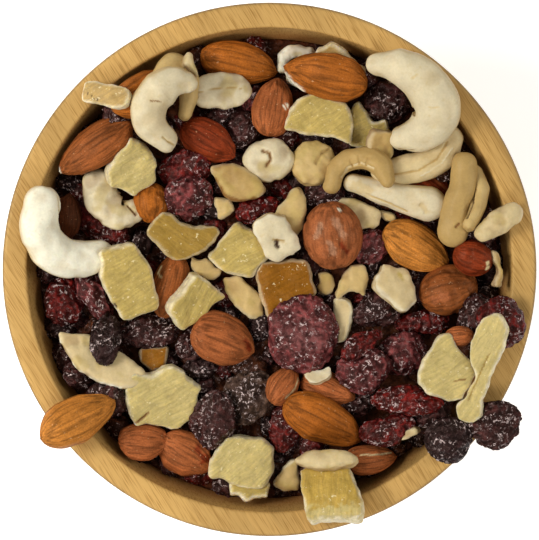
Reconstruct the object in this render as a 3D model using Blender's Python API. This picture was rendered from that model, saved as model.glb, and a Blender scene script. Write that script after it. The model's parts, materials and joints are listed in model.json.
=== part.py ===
"""A turned bamboo bowl heaped with trail mix: almonds, hazelnuts, cashews, other pale nuts, raisins,
dried cranberries and dried pineapple.

Metres, +Z up, origin at the centre of the bowl's flat base.

The heap is one solid. A smooth core fills the bowl and the pieces that show lie on it, each at its own
place. Every piece is dropped in turn: it takes the slope of what lies under it, comes down until it rests,
and then becomes part of what the next one lands on. A piece over the rim leans on the rim and on the heap.
"""
import math
from dataclasses import dataclass

import bmesh
import bpy
import numpy as np
from mathutils import Matrix, Vector
from mathutils.bvhtree import BVHTree
from mathutils.geometry import interpolate_bezier

MM = 0.001

# The bowl.
BOWL_RADIUS = 75.0 * MM
RIM_HEIGHT = 64.0 * MM
RIM_WIDTH = 7.2 * MM
BASE_RADIUS = 35.0 * MM
FLOOR_THICKNESS = 8.5 * MM
EQUATOR_HEIGHT = RIM_HEIGHT + 2.0 * MM
OUTER_ROUNDING = 1.3 * MM
INNER_ROUNDING = 0.9 * MM
BOWL_SIDES = 54
FACET_ALLOWANCE = 1.0 / math.cos(math.pi / BOWL_SIDES)
WALL_STEPS = 7

# The core of the heap, measured down from the rim.
CORE_DROP_AT_WALL = 11.5 * MM
CORE_DROP_AT_CENTRE = 9.0 * MM
CORE_GAP = 0.35 * MM
CORE_SIDES = 36
CORE_STEPS = 4

# How a dropped piece comes to rest.
CELL = 1.0 * MM
REST_GAP = 0.4 * MM
WALL_CLEARANCE = 1.2 * MM
SINK = 1.2 * MM
THIN = 5.0
STEEPEST = math.radians(22.0)
FIRM_SHARE = 0.85
THIN_FIRM_SHARE = 0.95
LEAN_STEP = math.radians(3.0)
LEAN_STEPS = 8

# Places in plan: steps to the right and down from the top left corner of a square that holds the rim.
PLAN_STEP = BOWL_RADIUS / 268.6
PLAN_CENTRE = (269.3, 270.8)

# Fineness of the pieces.
EGG_SIDES = 8
EGG_RINGS = 6
BEAN_SIDES = 8
BEAN_STEPS = 7
CURVE_POINTS = 12
HEAP_TRIANGLES = 11500


@dataclass(frozen=True)
class Egg:
    """A rounded piece: plan place, turn in degrees, then length, width and height in mm."""

    kind: str
    place: tuple
    turn: float
    length: float
    width: float
    height: float
    point: float = 0.0
    over_rim: bool = False


@dataclass(frozen=True)
class Bean:
    """A curved piece: the plan places along its middle, its width at each in mm, and its height in mm."""

    kind: str
    places: tuple
    widths: tuple
    height: float
    over_rim: bool = False


@dataclass(frozen=True)
class Slab:
    """A cut piece: the plan places of its corners, and its height in mm."""

    kind: str
    places: tuple
    height: float
    over_rim: bool = False


# The pieces that show, in the order in which they lie, the lowest first.
PIECES = (
    Egg("raisin", (122, 112), 30, 14, 13, 14),
    Egg("raisin", (105, 398), 30, 14, 13, 15),
    Egg("raisin", (329, 475), 0, 18, 13, 13),
    Egg("raisin", (431, 413), 50, 14, 13, 16.5),
    Egg("raisin", (479, 321), 80, 16, 13, 16.5),
    Egg("raisin", (481, 229), 80, 14, 12, 14),
    Egg("cranberry", (97, 218), -50, 24, 14, 7),
    Egg("almond", (64, 217), 80, 14, 9, 8, 0.5),
    Egg("almond", (135, 80), 33, 22, 11.5, 8, 0.6),
    Bean("cashew", ((160, 76), (171, 65), (184, 70), (189, 90), (185, 112)), (6, 7.5, 7, 6.5, 5), 7),
    Slab("nut", ((186, 53), (193, 56), (199, 78), (194, 82), (184, 66)), 5),
    Slab("pineapple", ((314, 50), (319, 40), (331, 34), (341, 38), (354, 50), (368, 62), (367, 74),
                       (360, 82), (340, 80), (318, 66)), 4),
    Bean("nut", ((281, 66), (285, 55), (296, 49), (309, 51)), (4, 4, 4, 4), 4),
    Slab("cashew", ((279, 69), (292, 72), (308, 77), (307, 91), (296, 88), (286, 80)), 3),
    Egg("raisin", (240, 128), 60, 14, 12, 8),
    Egg("raisin", (213, 116), 20, 12, 9, 7),
    Egg("cranberry", (253, 97), 60, 10, 8, 6),
    Egg("raisin", (388, 101), 30, 16, 14, 8),
    Egg("almond", (429, 187), -35, 17, 12, 8, 0.5),
    Egg("raisin", (446, 168), 20, 10, 9, 7),
    Bean("cashew", ((470, 124), (463, 139), (445, 150), (420, 157), (400, 158)), (7.5, 9, 9.5, 8.5, 6), 8),
    Egg("cranberry", (60, 305), 70, 16, 14, 7),
    Egg("raisin", (92, 298), -60, 17, 11, 8),
    Egg("raisin", (76, 378), 0, 12, 10, 7),
    Slab("nut", ((55, 331), (88, 334), (120, 352), (147, 374), (135, 390), (118, 390), (95, 384),
                 (75, 371), (61, 350)), 3.2),
    Slab("pineapple", ((135, 350), (167, 347), (165, 370), (150, 376), (138, 368)), 4.5),
    Egg("raisin", (147, 333), 5, 19, 11.5, 7),
    Egg("raisin", (104, 338), 80, 17, 10.5, 8),
    Egg("raisin", (200, 366), 20, 12, 9, 7),
    Egg("raisin", (192, 345), 60, 12, 10, 7),
    Egg("raisin", (247, 400), 45, 19, 16, 8),
    Egg("almond", (184, 458), -30, 17, 13.5, 9, 0.4),
    Egg("raisin", (213, 423), 75, 18, 15, 8),
    Egg("cranberry", (286, 430), 80, 16, 10.5, 7),
    Egg("raisin", (356, 408), 10, 14, 9, 6),
    Egg("almond", (283, 388), 50, 12.5, 9.5, 7, 0.4),
    Egg("almond", (328, 391), -20, 17, 9.5, 7, 0.5),
    Egg("almond", (371, 462), 5, 16.5, 9, 8, 0.8),
    Slab("nut", ((300, 462), (286, 467), (274, 479), (271, 490), (280, 499), (300, 500)), 4.5),
    Slab("pineapple", ((227, 487), (270, 487), (269, 503), (251, 505), (245, 509), (240, 503),
                       (229, 502)), 3.5),
    Slab("nut", ((396, 432), (418, 424), (422, 432), (403, 443)), 3.5),
    Egg("almond", (459, 336), 10, 8.5, 6.5, 6, 0.3),
    Egg("raisin", (325, 193), 15, 14, 10, 7),
    Egg("raisin", (373, 247), 60, 13, 11, 7),
    Egg("raisin", (378, 312), 20, 15, 12, 7),
    Egg("cranberry", (425, 324), 5, 17, 8.5, 6),
    Egg("cranberry", (256, 210), 15, 14, 9, 6),
    Egg("almond", (169, 285), 75, 20, 11, 8, 0.5),
    Egg("hazelnut", (473, 258), -20, 11.5, 10.5, 9),
    Slab("nut", ((490, 250), (499, 252), (503, 270), (502, 290), (493, 290), (494, 270)), 3.5),
    Bean("nut", ((482, 233), (496, 223), (510, 213)), (5.5, 7, 6.5), 6, True),
    Slab("pineapple", ((352, 105), (362, 97), (368, 110), (371, 120), (388, 118), (392, 130), (385, 146),
                       (368, 152), (350, 147), (344, 128)), 4.5),
    Slab("nut", ((370, 128), (392, 128), (394, 160), (380, 166), (366, 150)), 4.5),
    Slab("nut", ((218, 276), (240, 278), (262, 300), (265, 316), (258, 325), (240, 310), (222, 292)), 4),
    Slab("nut", ((188, 254), (205, 260), (224, 272), (214, 281), (196, 278), (186, 265)), 4),
    Slab("nut", ((214, 196), (230, 199), (237, 208), (228, 219), (218, 221)), 4.5),
    Egg("nut", (313, 163), 60, 13.5, 12.5, 8),
    Egg("nut", (268, 160), 10, 15, 12.5, 9),
    Slab("nut", ((298, 184), (305, 192), (308, 212), (303, 235), (285, 235), (272, 214), (286, 198)), 7),
    Slab("nut", ((334, 199), (352, 199), (374, 205), (383, 212), (382, 228), (370, 234), (350, 228)), 5),
    Slab("nut", ((380, 210), (398, 213), (399, 223), (384, 225)), 4),
    Slab("nut", ((334, 296), (340, 275), (352, 264), (366, 263), (371, 280), (366, 297), (350, 293),
                 (340, 300)), 4),
    Slab("nut", ((318, 270), (333, 274), (337, 288), (328, 299), (316, 292)), 4),
    Slab("cashew", ((334, 299), (350, 300), (356, 310), (355, 328), (347, 344), (334, 344)), 4),
    Slab("cashew", ((299, 368), (316, 372), (332, 366), (333, 380), (316, 388), (303, 383)), 3.5),
    Egg("almond", (92, 145), 213, 25, 12.5, 8, 0.5),
    Egg("almond", (238, 55), -14, 23, 13, 8.5, 0.6),
    Egg("almond", (273, 107), 80, 17.5, 12.5, 8, 0.4),
    Egg("almond", (325, 76), 168, 24.5, 14, 9, 0.7),
    Egg("almond", (208, 141), -30, 18, 12.5, 8, 0.7),
    Egg("nut", (220, 90), 5, 18, 11, 6),
    Bean("nut", ((97, 185), (103, 202), (118, 214), (131, 211)), (10, 11, 10, 7), 7),
    Slab("pineapple", ((87, 81), (104, 84), (131, 88), (137, 97), (132, 111), (118, 111), (100, 107),
                       (83, 104), (82, 93)), 3.5, True),
    Egg("hazelnut", (150, 203), 90, 11.5, 10.5, 10),
    Egg("cranberry", (184, 168), 15, 17, 12.5, 7),
    Slab("nut", ((209, 167), (230, 161), (244, 165), (262, 180), (268, 193), (258, 200), (240, 203),
                 (225, 199), (215, 182)), 6.5),
    Bean("cashew", ((187, 84), (176, 83), (161, 90), (151, 106), (153, 126), (167, 142)),
         (6.5, 9, 11.5, 11, 10, 7.5), 9.5),
    Egg("cranberry", (187, 200), 0, 16.5, 14.5, 8),
    Bean("cashew", ((331, 184), (336, 169), (350, 160), (368, 159), (382, 168), (388, 181)),
         (5.5, 6.5, 7, 7.5, 7, 5), 7),
    Bean("cashew", ((353, 183), (376, 190), (402, 198), (429, 204)), (5.5, 7, 8.5, 10.5), 8),
    Bean("cashew", ((475, 172), (480, 189), (477, 207), (469, 227)), (5.5, 6, 5.5, 4.5), 7),
    Bean("cashew", ((464, 165), (463, 184), (456, 206), (453, 231)), (8, 8, 8, 9.5), 8),
    Bean("cashew", ((42, 204), (39, 223), (46, 244), (63, 257), (84, 260), (102, 257)),
         (11, 11.5, 12, 11.5, 11, 9.5), 10, True),
    Bean("cashew", ((378, 66), (398, 67), (420, 81), (434, 103), (431, 124), (415, 137), (399, 141)),
         (7.5, 11, 13, 14, 13.5, 10.5, 7), 10.5, True),
    Egg("hazelnut", (450, 291), 15, 17, 14.5, 10),
    Egg("almond", (418, 248), -30, 21.5, 13.5, 8.5, 0.6),
    Slab("cashew", ((371, 288), (382, 262), (397, 268), (410, 270), (416, 285), (419, 305), (403, 317),
                    (390, 305), (380, 295)), 6),
    Egg("hazelnut", (333, 236), 95, 19.5, 17, 13),
    Slab("pineapple", ((144, 232), (152, 218), (161, 211), (171, 214), (182, 222), (200, 226), (217, 224),
                       (219, 234), (206, 250), (186, 262), (176, 265), (160, 250)), 6),
    Slab("pineapple", ((162, 309), (180, 285), (192, 272), (205, 280), (227, 297), (210, 310), (195, 325),
                       (182, 330), (173, 325)), 7),
    Slab("pineapple", ((97, 246), (113, 245), (132, 240), (150, 262), (154, 285), (159, 311), (140, 317),
                       (122, 322), (107, 297), (98, 278)), 7),
    Slab("pineapple", ((252, 270), (262, 262), (308, 258), (318, 296), (300, 310), (268, 322)), 7),
    Slab("pineapple", ((235, 220), (262, 235), (273, 250), (265, 262), (250, 280), (222, 273), (203, 258),
                       (215, 245), (226, 232)), 7),
    Slab("cashew", ((251, 225), (262, 215), (272, 212), (284, 215), (291, 225), (301, 243), (300, 250),
                    (292, 257), (275, 264), (264, 258)), 5),
    Slab("pineapple", ((127, 133), (152, 148), (158, 165), (155, 181), (134, 197), (107, 186), (103, 172),
                       (110, 157)), 6),
    Slab("pineapple", ((282, 129), (287, 110), (300, 97), (313, 92), (331, 97), (348, 104), (356, 121),
                       (350, 145), (332, 138), (305, 134)), 6),
    Egg("cranberry", (304, 336), 88, 24, 22, 9),
    Egg("cranberry", (403, 357), 20, 17, 14, 8),
    Egg("cranberry", (364, 372), 20, 18, 13.5, 8),
    Egg("cranberry", (362, 346), 35, 15.5, 8, 5),
    Egg("cranberry", (388, 431), 10, 18, 9.5, 7),
    Egg("cranberry", (407, 402), -5, 22.5, 10, 7),
    Egg("cranberry", (500, 320), -70, 16.5, 15, 6.5, 0, True),
    Egg("raisin", (494, 423), 15, 17.5, 15, 7, 0, True),
    Egg("raisin", (446, 439), 10, 15, 14.5, 8, 0, True),
    Slab("pineapple", ((466, 352), (473, 325), (486, 310), (500, 313), (507, 326), (505, 342), (494, 362),
                       (490, 380), (481, 400), (481, 412), (470, 424), (455, 420), (451, 408), (465, 392),
                       (474, 372)), 3.5, True),
    Slab("pineapple", ((414, 380), (420, 360), (432, 340), (441, 331), (450, 333), (456, 346), (470, 360),
                       (475, 372), (462, 402), (445, 402), (424, 392)), 4),
    Egg("almond", (223, 341), -20, 20, 15.5, 9, 0.6),
    Egg("almond", (141, 446), 0, 15.5, 11.5, 8, 0.4),
    Slab("pineapple", ((121, 388), (124, 375), (132, 371), (150, 374), (160, 368), (172, 366), (182, 370),
                       (188, 378), (202, 388), (198, 402), (192, 424), (175, 433), (160, 431), (132, 427),
                       (126, 415)), 5.5),
    Egg("almond", (79, 418), 27, 24.5, 13.5, 9, 0.6, True),
    Egg("almond", (324, 424), -28, 25.5, 14, 9, 0.7),
    Slab("pineapple", ((225, 438), (240, 437), (262, 440), (273, 448), (275, 462), (273, 480), (262, 494),
                       (240, 491), (225, 487), (208, 482), (206, 470), (212, 455)), 7),
    Slab("pineapple", ((298, 472), (315, 463), (340, 463), (353, 468), (358, 490), (364, 505), (363, 520),
                       (335, 521), (308, 523), (303, 500)), 9, True),
    Egg("nut", (326, 458), 0, 17.5, 6, 7),
)


def remove_everything():
    for thing in list(bpy.data.objects):
        bpy.data.objects.remove(thing, do_unlink=True)


def make_material(name, colour, roughness):
    material = bpy.data.materials.new(name)
    material.use_nodes = True
    shader = material.node_tree.nodes["Principled BSDF"]
    shader.inputs["Base Color"].default_value = (*colour, 1.0)
    shader.inputs["Roughness"].default_value = roughness
    shader.inputs["Metallic"].default_value = 0.0
    return material


def wall_radius(z, radius, depth):
    """Radius at height z of an ellipsoid of the given radius and depth below the bowl's widest level."""
    share = min((EQUATOR_HEIGHT - z) / depth, 1.0)
    return radius * math.sqrt(1.0 - share * share)


def outer_depth():
    """Depth of the outer ellipsoid whose radius is the base's radius at the base."""
    return EQUATOR_HEIGHT / math.sqrt(1.0 - (BASE_RADIUS / BOWL_RADIUS) ** 2)


def hollow_profile():
    """The (r, z) points of the bowl's inner surface, from under the rim's lip down to the floor's middle."""
    mouth = BOWL_RADIUS - RIM_WIDTH
    depth = EQUATOR_HEIGHT - FLOOR_THICKNESS
    lip = math.asin((EQUATOR_HEIGHT - RIM_HEIGHT + INNER_ROUNDING) / depth)
    angles = [lip + (math.pi / 2 - lip) * i / WALL_STEPS for i in range(WALL_STEPS + 1)]
    return [(mouth * math.cos(a), EQUATOR_HEIGHT - depth * math.sin(a)) for a in angles]


def inner_radius(z):
    radii, heights = zip(*reversed(hollow_profile()))
    return float(np.interp(z, heights, radii))


def inner_height(r):
    """Height of the inner surface at radius r, which is the rim's height beyond the lip."""
    radii, heights = zip(*reversed(hollow_profile()))
    return np.interp(r, radii, heights, right=RIM_HEIGHT)


def arc_points(centre, radius, start, end, steps):
    """Points on a circle in the (r, z) plane, angles in degrees from +r towards +z."""
    angles = [math.radians(start + (end - start) * i / steps) for i in range(steps + 1)]
    return [(centre[0] + radius * math.cos(a), centre[1] + radius * math.sin(a)) for a in angles]


def bowl_profile():
    """The bowl's section from the centre of the base up the outside, over the rim and down the inside."""
    low, high = 0.0, RIM_HEIGHT - OUTER_ROUNDING
    outside = []
    for i in range(WALL_STEPS + 1):
        z = low + (high - low) * (i / WALL_STEPS) ** 1.4
        outside.append((wall_radius(z, BOWL_RADIUS, outer_depth()), z))
    edge = outside[-1][0]
    over = arc_points((edge - OUTER_ROUNDING, high), OUTER_ROUNDING, 30, 90, 2)
    inside = hollow_profile()
    mouth, lip = inside[0]
    under = arc_points((mouth + INNER_ROUNDING, lip), INNER_ROUNDING, 90, 150, 2)
    return [(0.0, 0.0)] + outside + over + under + inside[:-1] + [(0.0, FLOOR_THICKNESS)]


def core_top(r):
    """Height of the core's domed top at radius r."""
    wall = RIM_HEIGHT - CORE_DROP_AT_WALL
    rise = CORE_DROP_AT_WALL - CORE_DROP_AT_CENTRE
    return wall + rise * (1.0 - min(r / inner_radius(wall), 1.0) ** 2)


def core_profile():
    """The core's section: down the inside of the bowl's hollow, a gap clear of it, and over the dome."""
    wall = RIM_HEIGHT - CORE_DROP_AT_WALL
    outer = inner_radius(wall) - CORE_GAP
    below = [(r - CORE_GAP, z + CORE_GAP) for r, z in reversed(hollow_profile()[:-1]) if z + CORE_GAP < wall]
    shares = [1.0 - i / CORE_STEPS for i in range(CORE_STEPS)]
    dome = [(outer * share, core_top(outer * share)) for share in shares]
    return [(0.0, FLOOR_THICKNESS + CORE_GAP)] + below + dome + [(0.0, core_top(0.0))]


def turned(name, profile, sides):
    """A solid of revolution about Z from a section of (r, z) points that starts and ends on the axis."""
    mesh = bpy.data.meshes.new(name)
    form = bmesh.new()
    points = [form.verts.new((r, 0.0, z)) for r, z in profile]
    edges = [form.edges.new(pair) for pair in zip(points, points[1:])]
    bmesh.ops.spin(form, geom=points + edges, cent=(0, 0, 0), axis=(0, 0, 1), angle=math.tau,
                   steps=sides, use_merge=True)
    bmesh.ops.remove_doubles(form, verts=form.verts, dist=0.001 * MM)
    bmesh.ops.recalc_face_normals(form, faces=form.faces)
    form.to_mesh(mesh)
    form.free()
    return mesh


def plan_point(place):
    """A place in plan, in metres from the bowl's axis."""
    return Vector(((place[0] - PLAN_CENTRE[0]) * PLAN_STEP, (PLAN_CENTRE[1] - place[1]) * PLAN_STEP))


def ball(sides, rings):
    """A ball of radius 1 whose poles lie on the X axis."""
    form = bmesh.new()
    bmesh.ops.create_uvsphere(form, u_segments=sides, v_segments=rings, radius=1.0)
    turn = Matrix.Rotation(math.radians(90.0), 3, "Y")
    bmesh.ops.rotate(form, verts=form.verts, cent=(0, 0, 0), matrix=turn)
    return form


def egg_form(piece):
    """A rounded piece about its own middle, its pointed end towards its turn."""
    form = ball(EGG_SIDES, EGG_RINGS)
    half = Vector((piece.length, piece.width, piece.height)) * 0.5 * MM
    for vert in form.verts:
        along, across, up = vert.co
        slim = max(1.0 - along * along, 0.0) ** (0.3 * piece.point * max(along, 0.0))
        slim *= 1.0 - 0.25 * piece.point * along
        vert.co = (along * half.x, across * slim * half.y, up * slim * half.z)
    turn = Matrix.Rotation(math.radians(piece.turn), 3, "Z")
    bmesh.ops.rotate(form, verts=form.verts, cent=(0, 0, 0), matrix=turn)
    return form, plan_point(piece.place)


def middle_line(piece, steps):
    """Even points and widths along the smooth curve through a bean's places."""
    knots = [plan_point(p).to_3d() for p in piece.places]
    knots = [2 * knots[0] - knots[1]] + knots + [2 * knots[-1] - knots[-2]]
    line, widths = [], []
    for i in range(1, len(knots) - 2):
        tangents = [(knots[i + k + 1] - knots[i + k - 1]) / 6.0 for k in (0, 1)]
        handles = knots[i] + tangents[0], knots[i + 1] - tangents[1]
        curve = interpolate_bezier(knots[i], *handles, knots[i + 1], CURVE_POINTS + 1)
        for k in range(CURVE_POINTS):
            share = k / CURVE_POINTS
            line.append(curve[k])
            widths.append(piece.widths[i - 1] * (1 - share) + piece.widths[i] * share)
    line.append(knots[-2])
    widths.append(piece.widths[-1])
    lengths = [0.0]
    for a, b in zip(line, line[1:]):
        lengths.append(lengths[-1] + (b - a).length)
    stops = np.linspace(0.0, lengths[-1], steps + 1)
    xs = np.interp(stops, lengths, [p.x for p in line])
    ys = np.interp(stops, lengths, [p.y for p in line])
    return [Vector((x, y)) for x, y in zip(xs, ys)], np.interp(stops, lengths, widths) * MM


def bean_stops(piece):
    """Centre and width of each ring of a bean from tip to tip, and the middle that the centres are about."""
    line, widths = middle_line(piece, BEAN_STEPS)
    middle = sum(line, Vector((0, 0))) / len(line)
    line = [p - middle for p in line]
    stops = list(zip(line, widths))
    for end, beside, width in ((line[0], line[1], widths[0]), (line[-1], line[-2], widths[-1])):
        outward = (end - beside).normalized() * width * 0.5
        tip = [(end + outward * math.sin(a), width * math.cos(a)) for a in (math.pi / 4, math.pi / 2)]
        stops = tip[::-1] + stops if end is line[0] else stops + tip
    return stops, middle


def bean_form(piece):
    """A curved piece with rounded ends about its own middle."""
    stops, middle = bean_stops(piece)
    last = len(stops) - 1
    widest = max(width for _, width in stops)
    form = ball(BEAN_SIDES, last)
    for vert in form.verts:
        ring = round(math.acos(max(-1.0, min(1.0, -vert.co.x))) / math.pi * last)
        place, width = stops[ring]
        before, after = stops[max(ring - 1, 0)][0], stops[min(ring + 1, last)][0]
        along = (after - before).normalized()
        across = Vector((-along.y, along.x))
        girth = max(math.hypot(vert.co.y, vert.co.z), 1e-9)
        reach = vert.co.y / girth * width * 0.5
        if 1 < ring < last - 1:
            step = (after - before).length * 0.5
            bend = (after - 2 * place + before).dot(across) / (step * step)
            if reach * bend > 0.8:
                reach = 0.8 / bend
        side = place + across * reach
        vert.co = (side.x, side.y, vert.co.z / girth * piece.height * MM * 0.5 * (width / widest) ** 0.7)
    return form, middle


def slab_form(piece):
    """A cut piece about its own middle, its edges eased at the top and the bottom."""
    outline = [plan_point(p) for p in piece.places]
    middle = sum(outline, Vector((0, 0))) / len(outline)
    height = piece.height * MM
    form = bmesh.new()
    base = form.faces.new([form.verts.new((p - middle).to_3d()) for p in outline])
    raised = bmesh.ops.extrude_face_region(form, geom=[base])["geom"]
    top = [part for part in raised if isinstance(part, bmesh.types.BMVert)]
    bmesh.ops.translate(form, verts=top, vec=(0, 0, height))
    bmesh.ops.translate(form, verts=form.verts, vec=(0, 0, -0.5 * height))
    rims = [edge for edge in form.edges if edge.verts[0].co.z * edge.verts[1].co.z > 0.0]
    bmesh.ops.bevel(form, geom=rims, offset=min(0.25 * height, 1.0 * MM), segments=1, profile=0.5,
                    affect="EDGES", clamp_overlap=True, material=-1)
    bmesh.ops.recalc_face_normals(form, faces=form.faces)
    return form, middle


def piece_form(piece):
    """A piece about its own middle, and the middle's place in metres from the axis."""
    makers = {Egg: egg_form, Bean: bean_form, Slab: slab_form}
    return makers[type(piece)](piece)


class Heap:
    """What a dropped piece can land on: the height of the food and of the bowl over a square grid."""

    def __init__(self):
        self.reach = BOWL_RADIUS * 1.15
        count = int(2 * self.reach / CELL) + 1
        self.axis = np.linspace(-self.reach, self.reach, count)
        self.step = self.axis[1] - self.axis[0]
        radii = np.hypot(*np.meshgrid(self.axis, self.axis, indexing="ij"))
        mouth = BOWL_RADIUS - RIM_WIDTH
        self.food = np.vectorize(core_top)(radii)
        self.food[radii > inner_radius(RIM_HEIGHT - CORE_DROP_AT_WALL)] = 0.0
        self.bowl = inner_height(radii * FACET_ALLOWANCE + 0.8 * CELL)
        self.bowl[radii > BOWL_RADIUS + CELL] = 0.0
        self.mouth = mouth

    def shadow(self, form, place):
        """Cells under a form, with the heights of its underside and its top there."""
        tree = BVHTree.FromBMesh(form)
        points = np.array([vert.co for vert in form.verts])
        start = np.array(place) + self.reach
        low = ((start + points.min(axis=0)[:2]) / self.step).astype(int)
        high = ((start + points.max(axis=0)[:2]) / self.step).astype(int) + 2
        cells = []
        for i in range(max(low[0], 0), min(high[0], len(self.axis))):
            for j in range(max(low[1], 0), min(high[1], len(self.axis))):
                x, y = self.axis[i] - place[0], self.axis[j] - place[1]
                under = tree.ray_cast(Vector((x, y, -1.0)), Vector((0, 0, 1)))[0]
                above = tree.ray_cast(Vector((x, y, 1.0)), Vector((0, 0, -1)))[0]
                if under and above:
                    cells.append((i, j, under.z, above.z))
        return np.array(cells)

    def ground_slope(self, cells):
        """The turn that lays a flat piece along what lies under these cells."""
        i, j = cells[:, 0].astype(int), cells[:, 1].astype(int)
        ground = np.maximum(self.food[i, j], self.bowl[i, j])
        sheet = np.column_stack((self.axis[i], self.axis[j], np.ones(len(i))))
        rise_x, rise_y = np.linalg.lstsq(sheet, ground, rcond=None)[0][:2]
        steepness = math.atan(math.hypot(rise_x, rise_y))
        if steepness < 1e-4:
            return Matrix.Identity(3)
        return Matrix.Rotation(min(steepness, STEEPEST), 3, Vector((rise_y, -rise_x, 0.0)))

    def rest(self, cells, thin):
        """Height of a resting piece's middle, and how far the bowl holds it off the food."""
        i, j = cells[:, 0].astype(int), cells[:, 1].astype(int)
        food = self.food[i, j]
        fed = food > 0.0
        firm = THIN_FIRM_SHARE if thin else FIRM_SHARE
        on_food = np.quantile((food - cells[:, 2])[fed], firm) - SINK if fed.any() else 0.0
        on_bowl = np.max(self.bowl[i, j] - cells[:, 2]) + REST_GAP
        depth = cells[:, 3] - cells[:, 2]
        thick = depth > 0.6 * np.max(depth)
        shows = np.quantile((food - cells[:, 3])[thick], 0.97)
        return max(on_food, on_bowl, shows), max(on_bowl - max(on_food, shows), 0.0)

    def tilted(self, form, place, tilt, thin):
        """The tilt, the cells under a form that has it, and what rest() says of it there."""
        trial = form.copy()
        bmesh.ops.rotate(trial, verts=trial.verts, cent=(0, 0, 0), matrix=tilt)
        cells = self.shadow(trial, place)
        trial.free()
        return (tilt, cells, *self.rest(cells, thin))

    def drop(self, form, place, thin):
        """Lower a form onto the heap, leave it where it lies, and add it to the heap.

        A piece that the bowl holds off the food leans across the rim until it is low and touches both.
        """
        flat = self.tilted(form, place, Matrix.Identity(3), thin)
        laid = self.tilted(form, place, self.ground_slope(flat[1]), thin)
        if laid[3] > 0.0:
            along_rim = Vector((-place[1], place[0], 0.0))
            angles = [k * LEAN_STEP for k in range(-LEAN_STEPS, LEAN_STEPS + 1)]
            leans = [Matrix.Rotation(angle, 3, along_rim) for angle in angles]
            tries = [self.tilted(form, place, lean, thin) for lean in leans]
            laid = min(tries, key=lambda one: one[2] + one[3])
        tilt, cells, z = laid[:3]
        i, j = cells[:, 0].astype(int), cells[:, 1].astype(int)
        self.food[i, j] = np.maximum(self.food[i, j], cells[:, 3] + z)
        bmesh.ops.rotate(form, verts=form.verts, cent=(0, 0, 0), matrix=tilt)
        bmesh.ops.translate(form, verts=form.verts, vec=(place[0], place[1], z))

    def inside(self, form, place):
        """The place moved towards the axis until the form is clear of the bowl's wall."""
        limit = self.mouth - WALL_CLEARANCE
        points = np.array([vert.co for vert in form.verts])[:, :2]
        reach = np.linalg.norm(points + np.array(place), axis=1).max()
        for _ in range(20):
            if reach <= limit:
                break
            place = place * float(1.0 - (reach - limit) / place.length)
            reach = np.linalg.norm(points + np.array(place), axis=1).max()
        return place


def add_object(name, form, collection):
    """Put a form in the collection as an object."""
    mesh = bpy.data.meshes.new(name)
    form.to_mesh(mesh)
    form.free()
    collection.objects.link(bpy.data.objects.new(name, mesh))


def cut_to_triangles(form):
    """Cut every face to triangles. Two faces that would be cut along one shared line get a middle point."""
    trial = form.copy()
    bmesh.ops.triangulate(trial, faces=trial.faces)
    doubled = [{vert.index for vert in edge.verts} for edge in trial.edges if len(edge.link_faces) != 2]
    trial.free()
    corners = {face: {vert.index for vert in face.verts} for face in form.faces if len(face.verts) > 3}
    bmesh.ops.poke(form, faces=[face for face in corners if any(pair <= corners[face] for pair in doubled)])
    bmesh.ops.triangulate(form, faces=form.faces)


def largest_shell(mesh):
    """Keep the heap's outer skin and drop the sealed hollows and loose scraps left by joining."""
    form = bmesh.new()
    form.from_mesh(mesh)
    cut_to_triangles(form)
    unseen = set(form.verts)
    shells = []
    while unseen:
        stack = [unseen.pop()]
        shell = set(stack)
        while stack:
            for edge in stack.pop().link_edges:
                for vert in edge.verts:
                    if vert not in shell:
                        shell.add(vert)
                        stack.append(vert)
        unseen -= shell
        shells.append(shell)
    shells.sort(key=len)
    for shell in shells[:-1]:
        bmesh.ops.delete(form, geom=list(shell), context="VERTS")
    form.to_mesh(mesh)
    form.free()


def finished_mesh(thing):
    """The object's mesh with its modifiers applied, which are then removed."""
    bpy.context.view_layer.update()
    mesh = bpy.data.meshes.new_from_object(thing.evaluated_get(bpy.context.evaluated_depsgraph_get()))
    thing.modifiers.clear()
    return mesh


def is_closed(mesh):
    form = bmesh.new()
    form.from_mesh(mesh)
    closed = all(len(edge.link_faces) == 2 for edge in form.edges)
    form.free()
    return closed


def thin_out(thing):
    """Collapse the smallest triangles, to the most that the heap may have and that leave its skin closed."""
    whole = thing.data
    for count in range(HEAP_TRIANGLES, HEAP_TRIANGLES // 2, -HEAP_TRIANGLES // 50):
        thing.data = whole
        collapse = thing.modifiers.new("collapse", "DECIMATE")
        collapse.ratio = count / len(whole.polygons)
        collapse.use_collapse_triangulate = True
        thing.data = finished_mesh(thing)
        if is_closed(thing.data):
            return


def build_heap():
    """The core with every piece dropped on it, joined into one solid."""
    scraps = bpy.data.collections.new("pieces")
    bpy.context.scene.collection.children.link(scraps)
    heap = Heap()
    for piece in PIECES:
        form, place = piece_form(piece)
        if not piece.over_rim:
            place = heap.inside(form, place)
        heap.drop(form, place, piece.height < THIN)
        add_object(piece.kind, form, scraps)
    core = bpy.data.objects.new("trail_mix", turned("trail_mix", core_profile(), CORE_SIDES))
    bpy.context.scene.collection.objects.link(core)
    join = core.modifiers.new("join", "BOOLEAN")
    join.operation = "UNION"
    join.operand_type = "COLLECTION"
    join.collection = scraps
    core.data = finished_mesh(core)
    for thing in list(scraps.objects):
        bpy.data.objects.remove(thing, do_unlink=True)
    bpy.data.collections.remove(scraps)
    largest_shell(core.data)
    thin_out(core)
    core.data.materials.clear()
    core.data.materials.append(make_material("dried_fruit_and_nuts", (0.33, 0.16, 0.07), 0.6))
    return core


def build_bowl():
    """The bowl, turned from one block of laminated bamboo."""
    bowl = bpy.data.objects.new("bowl", turned("bowl", bowl_profile(), BOWL_SIDES))
    bpy.context.scene.collection.objects.link(bowl)
    bowl.data.materials.append(make_material("bamboo", (0.55, 0.35, 0.15), 0.5))
    bowl.data.shade_smooth()
    bowl.data.set_sharp_from_angle(angle=math.radians(40))
    return bowl


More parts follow.
